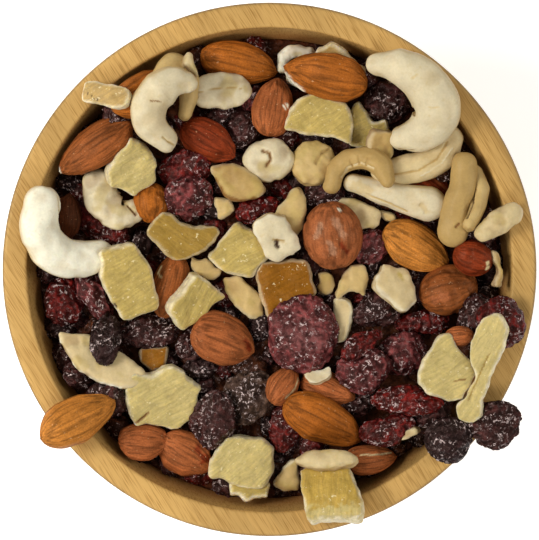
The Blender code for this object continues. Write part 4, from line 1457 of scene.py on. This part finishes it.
def ripples(points: np.ndarray, size: float, seed: float, octaves: int = 2, hard: bool = False) -> np.ndarray:
    """Read noise at points.

    Args:
        points: The points.
        size: Size of its largest cells, in the points' units.
        seed: Where in the noise to start.
        octaves: How many octaves.
        hard: Whether it folds up from zero, which gives sharp creases.

    Returns:
        The noise at each point.
    """
    start = np.array((seed * 7.31, seed * 3.17, seed * 5.93))
    return np.array([noise.turbulence(Vector(p), octaves, hard) for p in points / size + start])


def smooth_step(value: np.ndarray) -> np.ndarray:
    """Ease values from 0 to 1, held at both ends."""
    share = np.clip(value, 0.0, 1.0)
    return share * share * (3.0 - 2.0 * share)


def line_distance(points: np.ndarray, places: Sequence[Vector], closed: bool) -> np.ndarray:
    """Measure from points to a line of straight runs in plan.

    Args:
        points: The points.
        places: The line's corners.
        closed: Whether it comes back to its start.

    Returns:
        The distance of each point.
    """
    corners = np.array([(p[0], p[1]) for p in places])
    starts = corners if closed else corners[:-1]
    ends = np.roll(corners, -1, axis=0) if closed else corners[1:]
    best = np.full(len(points), np.inf)
    for start, end in zip(starts, ends):
        run = end - start
        share = np.clip((points[:, :2] - start) @ run / max(run @ run, 1e-12), 0.0, 1.0)
        best = np.minimum(best, np.linalg.norm(points[:, :2] - start - share[:, None] * run, axis=1))
    return best


class Clay:
    """One piece while it is shaped: its mesh, points, outward normals and colours."""

    def __init__(self, form: Form, shade: Shade) -> None:
        """Take a form over.

        Args:
            form: The form, which is freed.
            shade: Its colour all over.
        """
        self.mesh = bpy.data.meshes.new("clay")
        form.to_mesh(self.mesh)
        form.free()
        self.points = np.empty((len(self.mesh.vertices), 3))
        self.mesh.vertices.foreach_get("co", self.points.ravel())
        self.tint = np.tile(np.array(shade.value), (len(self.points), 1))
        self.refresh()

    def refresh(self) -> None:
        """Put the points back in the mesh and find its normals."""
        self.mesh.vertices.foreach_set("co", self.points.ravel())
        self.mesh.update()
        self.normals = np.empty((len(self.points), 3))
        self.mesh.vertex_normals.foreach_get("vector", self.normals.ravel())

    def push(self, distance: np.ndarray) -> None:
        """Move each point out along its normal."""
        self.points = self.points + self.normals * distance[:, None]
        self.refresh()

    def blend(self, share: np.ndarray, shade: Shade) -> None:
        """Mix a colour in, by a share at each point."""
        self.tint = self.tint * (1.0 - share[:, None]) + np.array(shade.value) * share[:, None]

    def lighten(self, factor: np.ndarray) -> None:
        """Scale the colour at each point."""
        self.tint = self.tint * factor[:, None]

    def smooth(self, times: int) -> None:
        """Even out the surface this many times."""
        form = bmesh.new()
        form.from_mesh(self.mesh)
        for _ in range(times):
            bmesh.ops.smooth_vert(form, verts=form.verts, factor=0.5, use_axis_x=True, use_axis_y=True,
                                  use_axis_z=True)
        self.points = np.array([vert.co for vert in form.verts])
        form.free()
        self.refresh()

    def mark(self, piece: Piece) -> None:
        """Put the piece's small features on its upper side."""
        middle = piece.middle()
        for mark in piece.marks:
            places = [plan_point(p) - middle for p in mark.places]
            reach = 1.0 - line_distance(self.points, places, False) / (0.5 * mark.width * MM)
            if mark.width > RAGGED:
                reach += RAGGED_SHARE * ripples(self.points, RAGGED_SIZE, mark.width)
            share = smooth_step(reach * MARK_SHARPNESS) * smooth_step(self.normals[:, 2] * 3.0 + 0.6)
            self.blend(share, mark.shade)
            self.push(-share * mark.depth * MM)


def voxel_form(form: Form, size: float) -> Form:
    """Cover a closed form evenly with small faces.

    Args:
        form: The form, which is freed.
        size: Size of a face.

    Returns:
        The covered form.
    """
    mesh = bpy.data.meshes.new("block")
    form.to_mesh(mesh)
    form.free()
    block = bpy.data.objects.new("block", mesh)
    bpy.context.scene.collection.objects.link(block)
    cover = block.modifiers.new("cover", "REMESH")
    cover.mode = "VOXEL"
    cover.voxel_size = size
    bpy.context.view_layer.update()
    covered = bmesh.new()
    covered.from_object(block, bpy.context.evaluated_depsgraph_get())
    bpy.data.objects.remove(block, do_unlink=True)
    bpy.data.meshes.remove(mesh)
    return covered


@dataclass(frozen=True)
class Bumps:
    """Uneven relief: the size of its bumps, in metres or in units of grain, and their depth in metres."""

    size: float
    depth: float


@dataclass
class Food:
    """All the pieces of one kind, made into one mesh.

    Attributes:
        kind: What they are.
        slot: A name for their material slot, which nothing in the script reads.
        shade: Their usual colour.
        look: Their finish.
        sides: Faces round a rounded or curved piece.
        rings: Faces along it.
    """

    kind: Kind
    slot: str
    shade: Shade
    look: Finish
    sides: int = 64
    rings: int = 44

    def relief(self, clay: Clay, piece: Piece, seed: int) -> None:
        """Give a piece its surface.

        Args:
            clay: The piece.
            piece: Its sizes.
            seed: A number that differs from piece to piece.
        """
        raise NotImplementedError

    def block(self, piece: Piece) -> Form:
        """Shape a piece without its surface."""
        if isinstance(piece, Egg):
            return piece.solid(self.sides, self.rings)
        if isinstance(piece, Bean):
            return piece.solid(self.sides, self.rings + 12, 5)
        return voxel_form(piece.solid(), VOXEL)

    def pillow(self, clay: Clay, piece: Slab, seed: int, waviness: float) -> np.ndarray:
        """Curve a slab's faces down towards its outline, and make its outline uneven.

        Args:
            clay: The slab.
            piece: Its sizes.
            seed: A number that differs from piece to piece.
            waviness: How far the outline strays.

        Returns:
            How near each point is to the outline, from 1 on it to 0 well inside.
        """
        gap = line_distance(clay.points, piece.outline(), True)
        plan = clay.points * (1.0, 1.0, 0.0)
        for axis in (0, 1):
            wave = ripples(plan, WAVE_SIZE, seed + WAVE_SHIFT * axis)
            clay.points[:, axis] += piece.ragged * waviness * wave
        share = np.clip(gap / (piece.round_over * MM), 0.0, 1.0)
        dome = np.sqrt(1.0 - (1.0 - share) ** 2)
        clay.points[:, 2] *= EDGE_THICKNESS + (1.0 - EDGE_THICKNESS) * dome
        clay.refresh()
        clay.smooth(3)
        return 1.0 - np.clip(gap / PALE_RIM_WIDTH, 0.0, 1.0)

    def build(self, name: str, heap: Iterable[Laid]) -> bpy.types.Object:
        """Shape every piece of this kind where it lies.

        Args:
            name: The object's name.
            heap: All the pieces at rest.

        Returns:
            The finished object.
        """
        form = bmesh.new()
        tints, grains = [], []
        mine = [(seed, laid) for seed, laid in enumerate(heap) if laid.piece.kind is self.kind]
        for seed, laid in mine:
            piece = laid.piece
            clay = Clay(self.block(piece), piece.shade or self.shade)
            grain = piece.grain(clay.points)
            self.relief(clay, piece, seed)
            clay.mark(piece)
            clay.points = clay.points @ np.array(laid.tilt).T + np.array(laid.place)
            clay.refresh()
            form.from_mesh(clay.mesh)
            bpy.data.meshes.remove(clay.mesh)
            tints.append(clay.tint)
            grains.append(grain + (seed * GRAIN_SHIFT, 0.0, 0.0))
        thing = finished(name, form, self.look.material())
        paint(thing.data, np.concatenate(tints), np.concatenate(grains))
        dress(thing)
        LOG.info("%s: %d pieces, %d faces", name, len(mine), len(thing.data.polygons))
        return thing


def finished(name: str, form: Form, material: bpy.types.Material) -> bpy.types.Object:
    """Make a smooth object of a form.

    Args:
        name: Its name.
        form: The form, which is freed.
        material: Its material.

    Returns:
        The object.
    """
    mesh = bpy.data.meshes.new(name)
    form.to_mesh(mesh)
    form.free()
    mesh.shade_smooth()
    mesh.materials.append(material)
    thing = bpy.data.objects.new(name, mesh)
    bpy.context.scene.collection.objects.link(thing)
    return thing


def paint(mesh: bpy.types.Mesh, tint: np.ndarray, grain: np.ndarray) -> None:
    """Keep each point's colour and grain as the mesh's own attributes.

    Args:
        mesh: The mesh.
        tint: Linear red, green and blue.
        grain: Places on the skin.
    """
    colours = np.column_stack((np.clip(tint, 0.0, 1.0), np.ones(len(tint))))
    mesh.attributes.new("tint", "FLOAT_COLOR", "POINT").data.foreach_set("color", colours.ravel())
    mesh.attributes.new("grain", "FLOAT_VECTOR", "POINT").data.foreach_set("vector", grain.ravel())


def dress(thing: bpy.types.Object) -> None:
    """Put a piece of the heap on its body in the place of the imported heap."""
    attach(thing, BODY)
    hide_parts(HEAP_NODE)


@dataclass
class Almonds(Food):
    """Whole almonds in their skins, ridged along their length.

    Attributes:
        dents: Wide hollows in the shape.
        ridges: Ridges along the nut.
        ridge_tone: How much paler they are than the furrows, as painted light and shade with the skin's own
            streaks.
        cloud_tone: How much the tone changes over the nut.
        cloud_size: Size of such a change.
    """

    kind: Kind = ALMOND
    slot: str = "almond_skin"
    shade: Shade = CHESTNUT
    look: SkinFinish = SkinFinish("almond_finish", 4.2, 0.10, 0.3 * MM, 0.55)
    dents: Bumps = Bumps(9.0 * MM, 0.8 * MM)
    ridges: Bumps = Bumps(0.26, 0.22 * MM)
    ridge_tone: float = 0.22
    cloud_tone: float = 0.10
    cloud_size: float = 7.0 * MM

    def relief(self, clay: Clay, piece: Piece, seed: int) -> None:
        """Ridge the skin, paler on the ridges and darker in the furrows, and make the nut a little uneven."""
        grain = piece.grain(clay.points)
        clay.push(-self.dents.depth * np.abs(ripples(clay.points, self.dents.size, seed)))
        ridges = ripples(grain, self.ridges.size, seed, 3)
        clay.push(self.ridges.depth * (ridges - 0.5))
        # Painted light and shade: paler on the raised ridges, darker in the furrows.
        clay.lighten(1.0 + self.ridge_tone * ridges)
        clay.lighten(1.0 + self.cloud_tone * ripples(clay.points, self.cloud_size, seed))


@dataclass
class Hazelnuts(Food):
    """Hazelnuts in their skins, mottled and a little pitted.

    Attributes:
        pits: Small pits.
        pit_tone: How much darker they are.
        streak_tone: How much the streaks change the tone.
        streak_size: Their width, in units of grain.
    """

    kind: Kind = HAZELNUT
    slot: str = "hazelnut_skin"
    shade: Shade = FILBERT
    look: SkinFinish = SkinFinish("hazelnut_finish", 4.0, 0.09, 0.2 * MM, 0.48)
    sides: int = 96
    rings: int = 72
    pits: Bumps = Bumps(3.0 * MM, 0.35 * MM)
    pit_tone: float = 0.25
    streak_tone: float = 0.15
    streak_size: float = 0.35

    def relief(self, clay: Clay, piece: Piece, seed: int) -> None:
        """Pit the skin and mottle its colour."""
        pits = smooth_step(ripples(clay.points, self.pits.size, seed) * 2.0)
        clay.push(-self.pits.depth * pits)
        streaks = ripples(piece.grain(clay.points), self.streak_size, seed)
        clay.lighten(1.0 - self.pit_tone * pits + self.streak_tone * streaks)


@dataclass
class Cashews(Food):
    """Cashews, whole and broken, smooth with small dents and seams.

    Attributes:
        waviness: How far the outline of a broken piece strays.
        breaks: Bumps on a broken face.
        dents: Dents in the flesh.
        ribs: Ribs along the nut.
    """

    kind: Kind = CASHEW
    slot: str = "cashew_flesh"
    shade: Shade = IVORY
    look: FleshFinish = FleshFinish("cashew_finish", 0.12, 0.45, 0.1 * MM)
    sides: int = 72
    rings: int = 76
    waviness: float = 0.7 * MM
    breaks: Bumps = Bumps(3.0 * MM, 0.3 * MM)
    dents: Bumps = Bumps(6.5 * MM, 0.5 * MM)
    ribs: Bumps = Bumps(0.22, 0.10 * MM)

    def relief(self, clay: Clay, piece: Piece, seed: int) -> None:
        """Dent the flesh, flatten it a little, warm it in the dents and paint shade on its steep sides."""
        if isinstance(piece, Slab):
            edge = self.pillow(clay, piece, seed, self.waviness)
            # Painted highlight: a pale rim along the broken piece's outline.
            clay.blend(0.7 * edge, CHALK)
            clay.push(self.breaks.depth * ripples(clay.points, self.breaks.size, seed + 0.5))
        dents = ripples(clay.points, self.dents.size, seed)
        clay.push(-self.dents.depth * smooth_step(dents + 0.35))
        ribs = ripples(piece.grain(clay.points), self.ribs.size, seed, 1)
        clay.push(self.ribs.depth * (ribs - 1.0))
        clay.blend(0.3 * smooth_step(dents * 1.5), STRAW)
        # Painted shade: darker, golden colour on the steep sides, the less they face up.
        clay.blend(0.8 * smooth_step(0.95 - 1.6 * clay.normals[:, 2]), STRAW)


@dataclass
class PaleNuts(Food):
    """Halves and bits of peeled nuts, golden at their edges, where shade is painted on their steep sides.

    Attributes:
        waviness: How far the outline of a broken piece strays.
        flatness: How flat the upper side of a rounded bit is, from 1 for round.
        dents: Dents in the flesh.
        bumps: Small bumps.
        patch_size: Size of the golden patches.
    """

    kind: Kind = NUT
    slot: str = "nut_flesh"
    shade: Shade = CREAM
    look: FleshFinish = FleshFinish("pale_nut_finish", 0.12, 0.45, 0.12 * MM)
    rings: int = 52
    waviness: float = 0.9 * MM
    flatness: float = 0.6
    dents: Bumps = Bumps(5.5 * MM, 0.55 * MM)
    bumps: Bumps = Bumps(2.6 * MM, 0.3 * MM)
    patch_size: float = 4.0 * MM

    def relief(self, clay: Clay, piece: Piece, seed: int) -> None:
        """Dent the flesh, toast it here and there and paint shade on its steep sides."""
        if isinstance(piece, Slab):
            edge = self.pillow(clay, piece, seed, self.waviness)
            # Painted highlight: a pale rim along the broken piece's outline.
            clay.blend(0.6 * edge, IVORY)
        elif isinstance(piece, Egg):
            half = 0.5 * piece.height * MM
            share = np.abs(clay.points[:, 2]) / half
            clay.points[:, 2] = np.sign(clay.points[:, 2]) * half * share ** self.flatness
            clay.refresh()
        dents = ripples(clay.points, self.dents.size, seed)
        clay.push(-self.dents.depth * smooth_step(dents + 0.35))
        clay.push(self.bumps.depth * ripples(clay.points, self.bumps.size, seed + 0.5))
        clay.blend(0.35 * smooth_step(dents * 2.0), TOAST)
        patches = ripples(clay.points, self.patch_size, seed + 0.8)
        clay.blend(0.5 * smooth_step(patches * 2.0), OLIVE)
        # Painted shade: darker, golden colour on the steep sides, the less they face up.
        clay.blend(0.6 * smooth_step(0.8 - 1.6 * clay.normals[:, 2]), TOAST)


@dataclass
class DarkFruit(Food):
    """Raisins, folded mostly along their length.

    Attributes:
        lengthwise: Share of the folds that run along the fruit.
        folds: The folds, by the size of those that run every way.
        fold_width: How wide a crest is, as a share of the noise that makes it.
        long_fold_size: Size of the folds along the fruit, in units of grain.
        fine_size: Size of the fine wrinkles.
        fine_width: How wide a fine crest is, as a share of the noise that makes it.
        swell: Wide swellings and hollows in the shape.
    """

    kind: Kind = RAISIN
    slot: str = "dark_fruit"
    shade: Shade = PRUNE
    look: DarkFruitFinish = DarkFruitFinish("raisin_finish", (0.13, 0.068, 0.058), 0.6 * MM, 0.25, 1.0)
    lengthwise: float = 0.6
    folds: Bumps = Bumps(3.0 * MM, 1.0 * MM)
    fold_width: float = 0.13
    long_fold_size: float = 0.55
    fine_size: float = 1.6 * MM
    fine_width: float = 0.25
    swell: Bumps = Bumps(8.0 * MM, 1.3 * MM)

    def relief(self, clay: Clay, piece: Piece, seed: int) -> None:
        """Fold the skin into crests with hollows between them, paler on the crests and darker in the hollows.
        """
        clay.push(self.swell.depth * ripples(clay.points, self.swell.size, seed, 1) - 0.5 * MM)
        along = ripples(piece.grain(clay.points), self.long_fold_size, seed)
        around = ripples(clay.points, self.folds.size, seed + 0.5)
        folds = self.lengthwise * along + (1.0 - self.lengthwise) * around
        crest = np.exp(-((folds / self.fold_width) ** 2))
        fine = np.exp(-((ripples(clay.points, self.fine_size, seed + 0.7, 1) / self.fine_width) ** 2))
        clay.push(self.folds.depth * (0.75 * (crest - 1.0) + 0.22 * (fine - 1.0)))
        # Paler crests and darker hollows: painted light and shade, with the pale bloom on the crests.
        clay.lighten(0.5 + 0.9 * crest)


@dataclass
class Cranberries(DarkFruit):
    """Dried cranberries, redder than the raisins and puckered all over."""

    kind: Kind = CRANBERRY
    slot: str = "cranberry_skin"
    shade: Shade = WINE
    look: DarkFruitFinish = DarkFruitFinish("cranberry_finish", (0.22, 0.085, 0.075), 0.45 * MM, 0.2, 0.9)
    sides: int = 76
    rings: int = 60
    lengthwise: float = 0.3
    folds: Bumps = Bumps(2.8 * MM, 0.65 * MM)


@dataclass
class GapFruit(DarkFruit):
    """Small dark fruit on the core, wherever no other piece lies on it.

    Attributes:
        count: Places over the whole core.
        ring_count: Places round the wall.
        kept_free: Plan places of thin pieces, near which none goes.
        free_reach: How near.
        bare_reach: How far round a place it looks for the core.
        least_bare: The least share of the core that has to show there.
        shades: Colours, taken in turn.
    """

    sides: int = 32
    rings: int = 22
    count: int = 230
    ring_count: int = 46
    kept_free: tuple[tuple[float, float], ...] = ((286, 57), (300, 50), (293, 80))
    free_reach: float = 6.0 * MM
    bare_reach: float = 4.5 * MM
    least_bare: float = 0.12
    shades: tuple[Shade, ...] = (JET, PRUNE, WINE, PRUNE, BARK)

    def places(self) -> list[tuple[Vector, float]]:
        """Spread places over the core and round the wall, each with its height over the core."""
        outer = inner_radius(RIM_HEIGHT - CORE_DROP_AT_WALL)
        golden = math.pi * (3.0 - math.sqrt(5.0))
        spiral = [((outer - 5.0 * MM) * math.sqrt((k + 0.5) / self.count), k * golden, -2.0 * MM)
                  for k in range(self.count)]
        ring = [(outer - 3.6 * MM, math.tau * k / self.ring_count, -0.6 * MM) for k in range(self.ring_count)]
        return [(Vector((r * math.cos(a), r * math.sin(a))), rise) for r, a, rise in spiral + ring]

    def pieces(self, pile: Pile) -> list[Laid]:
        """Turn and size the fruit unevenly, and keep what would show.

        Args:
            pile: The heap once every other piece lies on it.

        Returns:
            The fruit at rest.
        """
        laid = []
        for k, (place, rise) in enumerate(self.places()):
            bare = pile.bare(place, self.bare_reach)
            near = min((place - plan_point(free)).length for free in self.kept_free)
            if bare < self.least_bare or near < self.free_reach:
                continue
            length = 11.0 + 2.5 * math.sin(k * 1.7)
            egg = Egg(RAISIN, (0.0, 0.0), k * 77.0, length, 0.8 * length, 8.0,
                      shade=self.shades[k % len(self.shades)])
            tilt = Matrix.Rotation(math.radians(12.0 * math.sin(k * 2.3)), 3, "X")
            height = core_top(place.length) + rise + 1.6 * MM * bare + 0.5 * MM * math.sin(k * 3.1)
            laid.append(Laid(egg, tilt, Vector((place.x, place.y, height))))
        return laid


@dataclass
class Pineapple(Food):
    """Cut chunks and strips of sugared pineapple, with ragged pale edges of sugar crust and painted
    highlight.

    Attributes:
        waviness: How far the outline strays.
        swell: Wide swellings and hollows in the faces.
        sugar: Lumps of sugar.
        crust_and_highlight_size: Size of the patches of crust and painted highlight.
        crust_and_highlight_share: Most crust and painted highlight on a pale piece's edge.
        clear_crust_and_highlight_share: Most crust and painted highlight on a clear piece's edge.
    """

    kind: Kind = PINEAPPLE
    slot: str = "pineapple_flesh"
    shade: Shade = OLIVE
    look: SugaredFinish = SugaredFinish()
    waviness: float = 0.7 * MM
    swell: Bumps = Bumps(6.0 * MM, 0.4 * MM)
    sugar: Bumps = Bumps(1.6 * MM, 0.16 * MM)
    crust_and_highlight_size: float = 2.5 * MM
    crust_and_highlight_share: float = 0.95
    clear_crust_and_highlight_share: float = 0.45

    def relief(self, clay: Clay, piece: Piece, seed: int) -> None:
        """Ease the edges, make them ragged, crust them with sugar and a painted highlight, and paint shade on
        the steep sides.
        """
        edge = self.pillow(clay, piece, seed, self.waviness)
        clay.push(self.swell.depth * (ripples(clay.points, self.swell.size, seed) - 0.5))
        clay.push(self.sugar.depth * ripples(clay.points, self.sugar.size, seed))
        crust_and_highlight = ripples(clay.points, self.crust_and_highlight_size, seed + 0.5)
        clear = piece.shade in (AMBER, HONEY)
        shown = self.clear_crust_and_highlight_share if clear else self.crust_and_highlight_share
        # Pale edges: sugar crust with a painted highlight along the outline.
        clay.blend(np.clip(1.2 * edge * (0.8 + 0.6 * crust_and_highlight), 0.0, shown), SUGAR)
        # Painted shade: darker, warmer colour on the steep sides, the less they face up.
        clay.blend(0.3 * smooth_step(0.6 - 1.6 * clay.normals[:, 2]), HONEY)


@dataclass
class Core:
    """Packed dark fruit under the pieces that show.

    Attributes:
        sides: Steps round it.
        rings: Steps across its top.
        lumps: Depth of its lumps.
        lump_size: Size of a lump.
    """

    sides: int = 150
    rings: int = 60
    lumps: float = 2.2 * MM
    lump_size: float = 7.0 * MM

    def profile(self) -> list[tuple[float, float]]:
        """Follow its section: down inside the bowl's hollow and over the dome."""
        wall = RIM_HEIGHT - CORE_DROP_AT_WALL
        outer = inner_radius(wall) - CORE_GAP
        hollow = hollow_profile(WALL_STEPS)[:-1]
        below = [(r - CORE_GAP, z + CORE_GAP) for r, z in reversed(hollow) if z + CORE_GAP < wall]
        radii = [outer * (1.0 - i / self.rings) for i in range(self.rings)]
        dome = [(r, core_top(r)) for r in radii]
        return [(0.0, FLOOR_THICKNESS + CORE_GAP)] + below + dome + [(0.0, core_top(0.0))]

    def build(self) -> bpy.types.Object:
        """Make the core, lumpy on top."""
        clay = Clay(turned(self.profile(), self.sides), BARK)
        upper = smooth_step(clay.normals[:, 2] * 2.0 - 0.6)
        lumps = ripples(clay.points, self.lump_size, 3.0, 3, True)
        clay.points[:, 2] -= self.lumps * upper * np.clip(1.0 - lumps, 0.0, 1.0)
        clay.refresh()
        form = bmesh.new()
        form.from_mesh(clay.mesh)
        finish = DarkFruitFinish("core_finish", (0.05, 0.014, 0.010), 0.4 * MM, 0.1, 0.2)
        thing = finished("core", form, finish.material())
        paint(thing.data, clay.tint, clay.points / GRAIN_UNIT)
        bpy.data.meshes.remove(clay.mesh)
        dress(thing)
        LOG.info("core: %d faces", len(thing.data.polygons))
        return thing


@dataclass
class Bowl:
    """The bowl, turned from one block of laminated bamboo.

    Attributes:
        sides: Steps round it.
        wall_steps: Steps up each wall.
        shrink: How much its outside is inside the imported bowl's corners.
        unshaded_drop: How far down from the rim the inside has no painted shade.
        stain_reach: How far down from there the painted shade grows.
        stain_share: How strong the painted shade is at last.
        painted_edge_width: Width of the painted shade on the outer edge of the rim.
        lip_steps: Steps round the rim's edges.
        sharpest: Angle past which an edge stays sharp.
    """

    sides: int = 240
    wall_steps: int = 30
    shrink: float = 0.22 * MM
    unshaded_drop: float = 2.5 * MM
    stain_reach: float = 10.0 * MM
    stain_share: float = 0.75
    painted_edge_width: float = 0.8 * MM
    lip_steps: int = 6
    sharpest: float = math.radians(40.0)

    def profile(self) -> list[tuple[float, float]]:
        """Follow its section from the centre of the base up, over the rim and down the inside."""
        depth = EQUATOR_HEIGHT / math.sqrt(1.0 - (BASE_RADIUS / BOWL_RADIUS) ** 2)
        high = RIM_HEIGHT - OUTER_ROUNDING
        heights = [high * (i / self.wall_steps) ** 1.4 for i in range(self.wall_steps + 1)]
        outside = [(wall_radius(z, BOWL_RADIUS, depth) - self.shrink, z) for z in heights]
        inside = hollow_profile(self.wall_steps)
        edge, (mouth, lip) = outside[-1][0] - OUTER_ROUNDING, inside[0]
        quarter = [math.pi / 2 * i / self.lip_steps for i in range(1, self.lip_steps + 1)]
        over = [(edge + OUTER_ROUNDING * math.cos(a), high + OUTER_ROUNDING * math.sin(a)) for a in quarter]
        middle = mouth + INNER_ROUNDING
        under = [(middle, RIM_HEIGHT)]
        for a in quarter[:-1]:
            under.append((middle - INNER_ROUNDING * math.sin(a), lip + INNER_ROUNDING * math.cos(a)))
        return [(0.0, 0.0)] + outside + over + under + inside[:-1] + [(0.0, FLOOR_THICKNESS)]

    def build(self) -> bpy.types.Object:
        """Turn the bowl and finish it."""
        thing = finished("turned_bowl", turned(self.profile(), self.sides), BambooFinish().material())
        points = np.array([vert.co for vert in thing.data.vertices])
        radii = np.hypot(points[:, 0], points[:, 1])
        # Painted shade on the outer rounding of the rim, kept as the edge attribute.
        edge = smooth_step((radii - BOWL_RADIUS) / self.painted_edge_width + 1.4)
        edge *= smooth_step(points[:, 2] / RIM_HEIGHT)
        thing.data.attributes.new("edge", "FLOAT", "POINT").data.foreach_set("value", edge)
        # Painted shade on the inside, growing deeper down, with the fruit's reflected colour.
        inside = np.interp(points[:, 2], *zip(*((z, r) for r, z in reversed(hollow_profile(WALL_STEPS)))))
        depth = RIM_HEIGHT - self.unshaded_drop - points[:, 2]
        grown = self.stain_share * smooth_step(depth / self.stain_reach)
        stain = np.where(radii < inside + 1.0 * MM, grown, 0.0)
        thing.data.attributes.new("stain", "FLOAT", "POINT").data.foreach_set("value", stain)
        thing.data.set_sharp_from_angle(angle=self.sharpest)
        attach(thing, BODY)
        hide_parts(BOWL_NODE)
        LOG.info("bowl: %d faces", len(thing.data.polygons))
        return thing


@dataclass
class Studio:
    """A pale floor, soft lights and a camera that looks down.

    Attributes:
        distance: From the camera to the rim.
        tilt: Degrees from straight down, towards the front, so that below 0 it stands towards the back.
        frame_width: Width of what the camera sees at the rim.
        aim: Where at the rim it looks.
        sensor: Width of its sensor in mm.
        near: The nearest that it sees.
        floor_reach: Half the floor's width.
        floor_colour: The floor's colour.
        sky_strength: Light from all round.
        lamps: Name, place, width and watts of each lamp.
    """

    distance: float = 0.6
    tilt: float = -2.0
    frame_width: float = 2.0 * 269.5 * PLAN_STEP
    aim: tuple[float, float] = (0.0, 0.2 * MM)
    sensor: float = 36.0
    near: float = 0.01
    floor_reach: float = 2.0
    floor_colour: Triple = (0.93, 0.93, 0.92)
    sky_strength: float = 0.34
    lamps: tuple[tuple[str, Triple, float, float], ...] = (
        ("key_light", (-0.42, 0.06, 0.46), 0.22, 2.55),
        ("side_light", (0.80, 0.05, 0.65), 0.4, 2.6),
        ("front_light", (-0.25, -0.70, 0.85), 0.4, 3.0),
    )

    def build(self) -> None:
        """Make the floor, the lights and the camera."""
        form = bmesh.new()
        bmesh.ops.create_grid(form, x_segments=2, y_segments=2, size=self.floor_reach)
        floor = finished("floor", form, PlainFinish("floor_finish", self.floor_colour, 0.7, 0.55).material())
        world = bpy.data.worlds.new("studio")
        world.use_nodes = True
        sky = world.node_tree.nodes["Background"]
        sky.inputs["Color"].default_value = (1.0, 0.99, 0.97, 1.0)
        sky.inputs["Strength"].default_value = self.sky_strength
        bpy.context.scene.world = world
        for lamp in self.lamps:
            self.light(*lamp)
        self.camera()

    def light(self, name: str, place: Triple, size: float, power: float) -> None:
        """Hang a square lamp that faces the bowl.

        Args:
            name: Its name.
            place: Where it hangs.
            size: Its width.
            power: Its power in watts.
        """
        lamp = bpy.data.lights.new(name, "AREA")
        lamp.size = size
        lamp.energy = power
        thing = bpy.data.objects.new(name, lamp)
        thing.location = place
        towards = Vector((0.0, 0.0, RIM_HEIGHT)) - Vector(place)
        thing.rotation_euler = towards.to_track_quat("-Z", "Y").to_euler()
        bpy.context.scene.collection.objects.link(thing)

    def camera(self) -> None:
        """Set the camera above the rim."""
        lens = bpy.data.cameras.new("camera")
        lens.sensor_fit = "HORIZONTAL"
        lens.sensor_width = self.sensor
        lens.lens = self.sensor * self.distance / self.frame_width
        lens.clip_start = self.near
        thing = bpy.data.objects.new("camera", lens)
        lean = math.radians(self.tilt)
        offset = Vector((0.0, -math.sin(lean), math.cos(lean))) * self.distance
        thing.location = Vector((*self.aim, RIM_HEIGHT)) + offset
        thing.rotation_euler = (lean, 0.0, 0.0)
        bpy.context.scene.collection.objects.link(thing)
        bpy.context.scene.camera = thing
        bpy.context.scene.view_settings.view_transform = "Standard"


def corners(box: Sequence[Sequence[float]]) -> list[list[float]]:
    """Give a box's corners as plain lists."""
    return [[float(value) for value in corner] for corner in box]


def main() -> None:
    """Build the classes in order and report each piece."""
    logging.basicConfig(level=logging.INFO, format="%(name)s %(message)s")
    for thing in list(bpy.data.objects):
        bpy.data.objects.remove(thing, do_unlink=True)
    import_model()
    Bowl().build()
    Core().build()
    pile = Pile()
    heap = [pile.drop(piece) for piece in PIECES]
    LOG.info("heap: %d pieces settled", len(heap))
    for food in (Almonds(), Hazelnuts(), Cashews(), PaleNuts(), DarkFruit(), Cranberries(), Pineapple()):
        food.build(food.kind.value, heap)
    gaps = GapFruit()
    gaps.build("gap_raisins", gaps.pieces(pile))
    Studio().build()


if __name__ == "__main__":
    main()
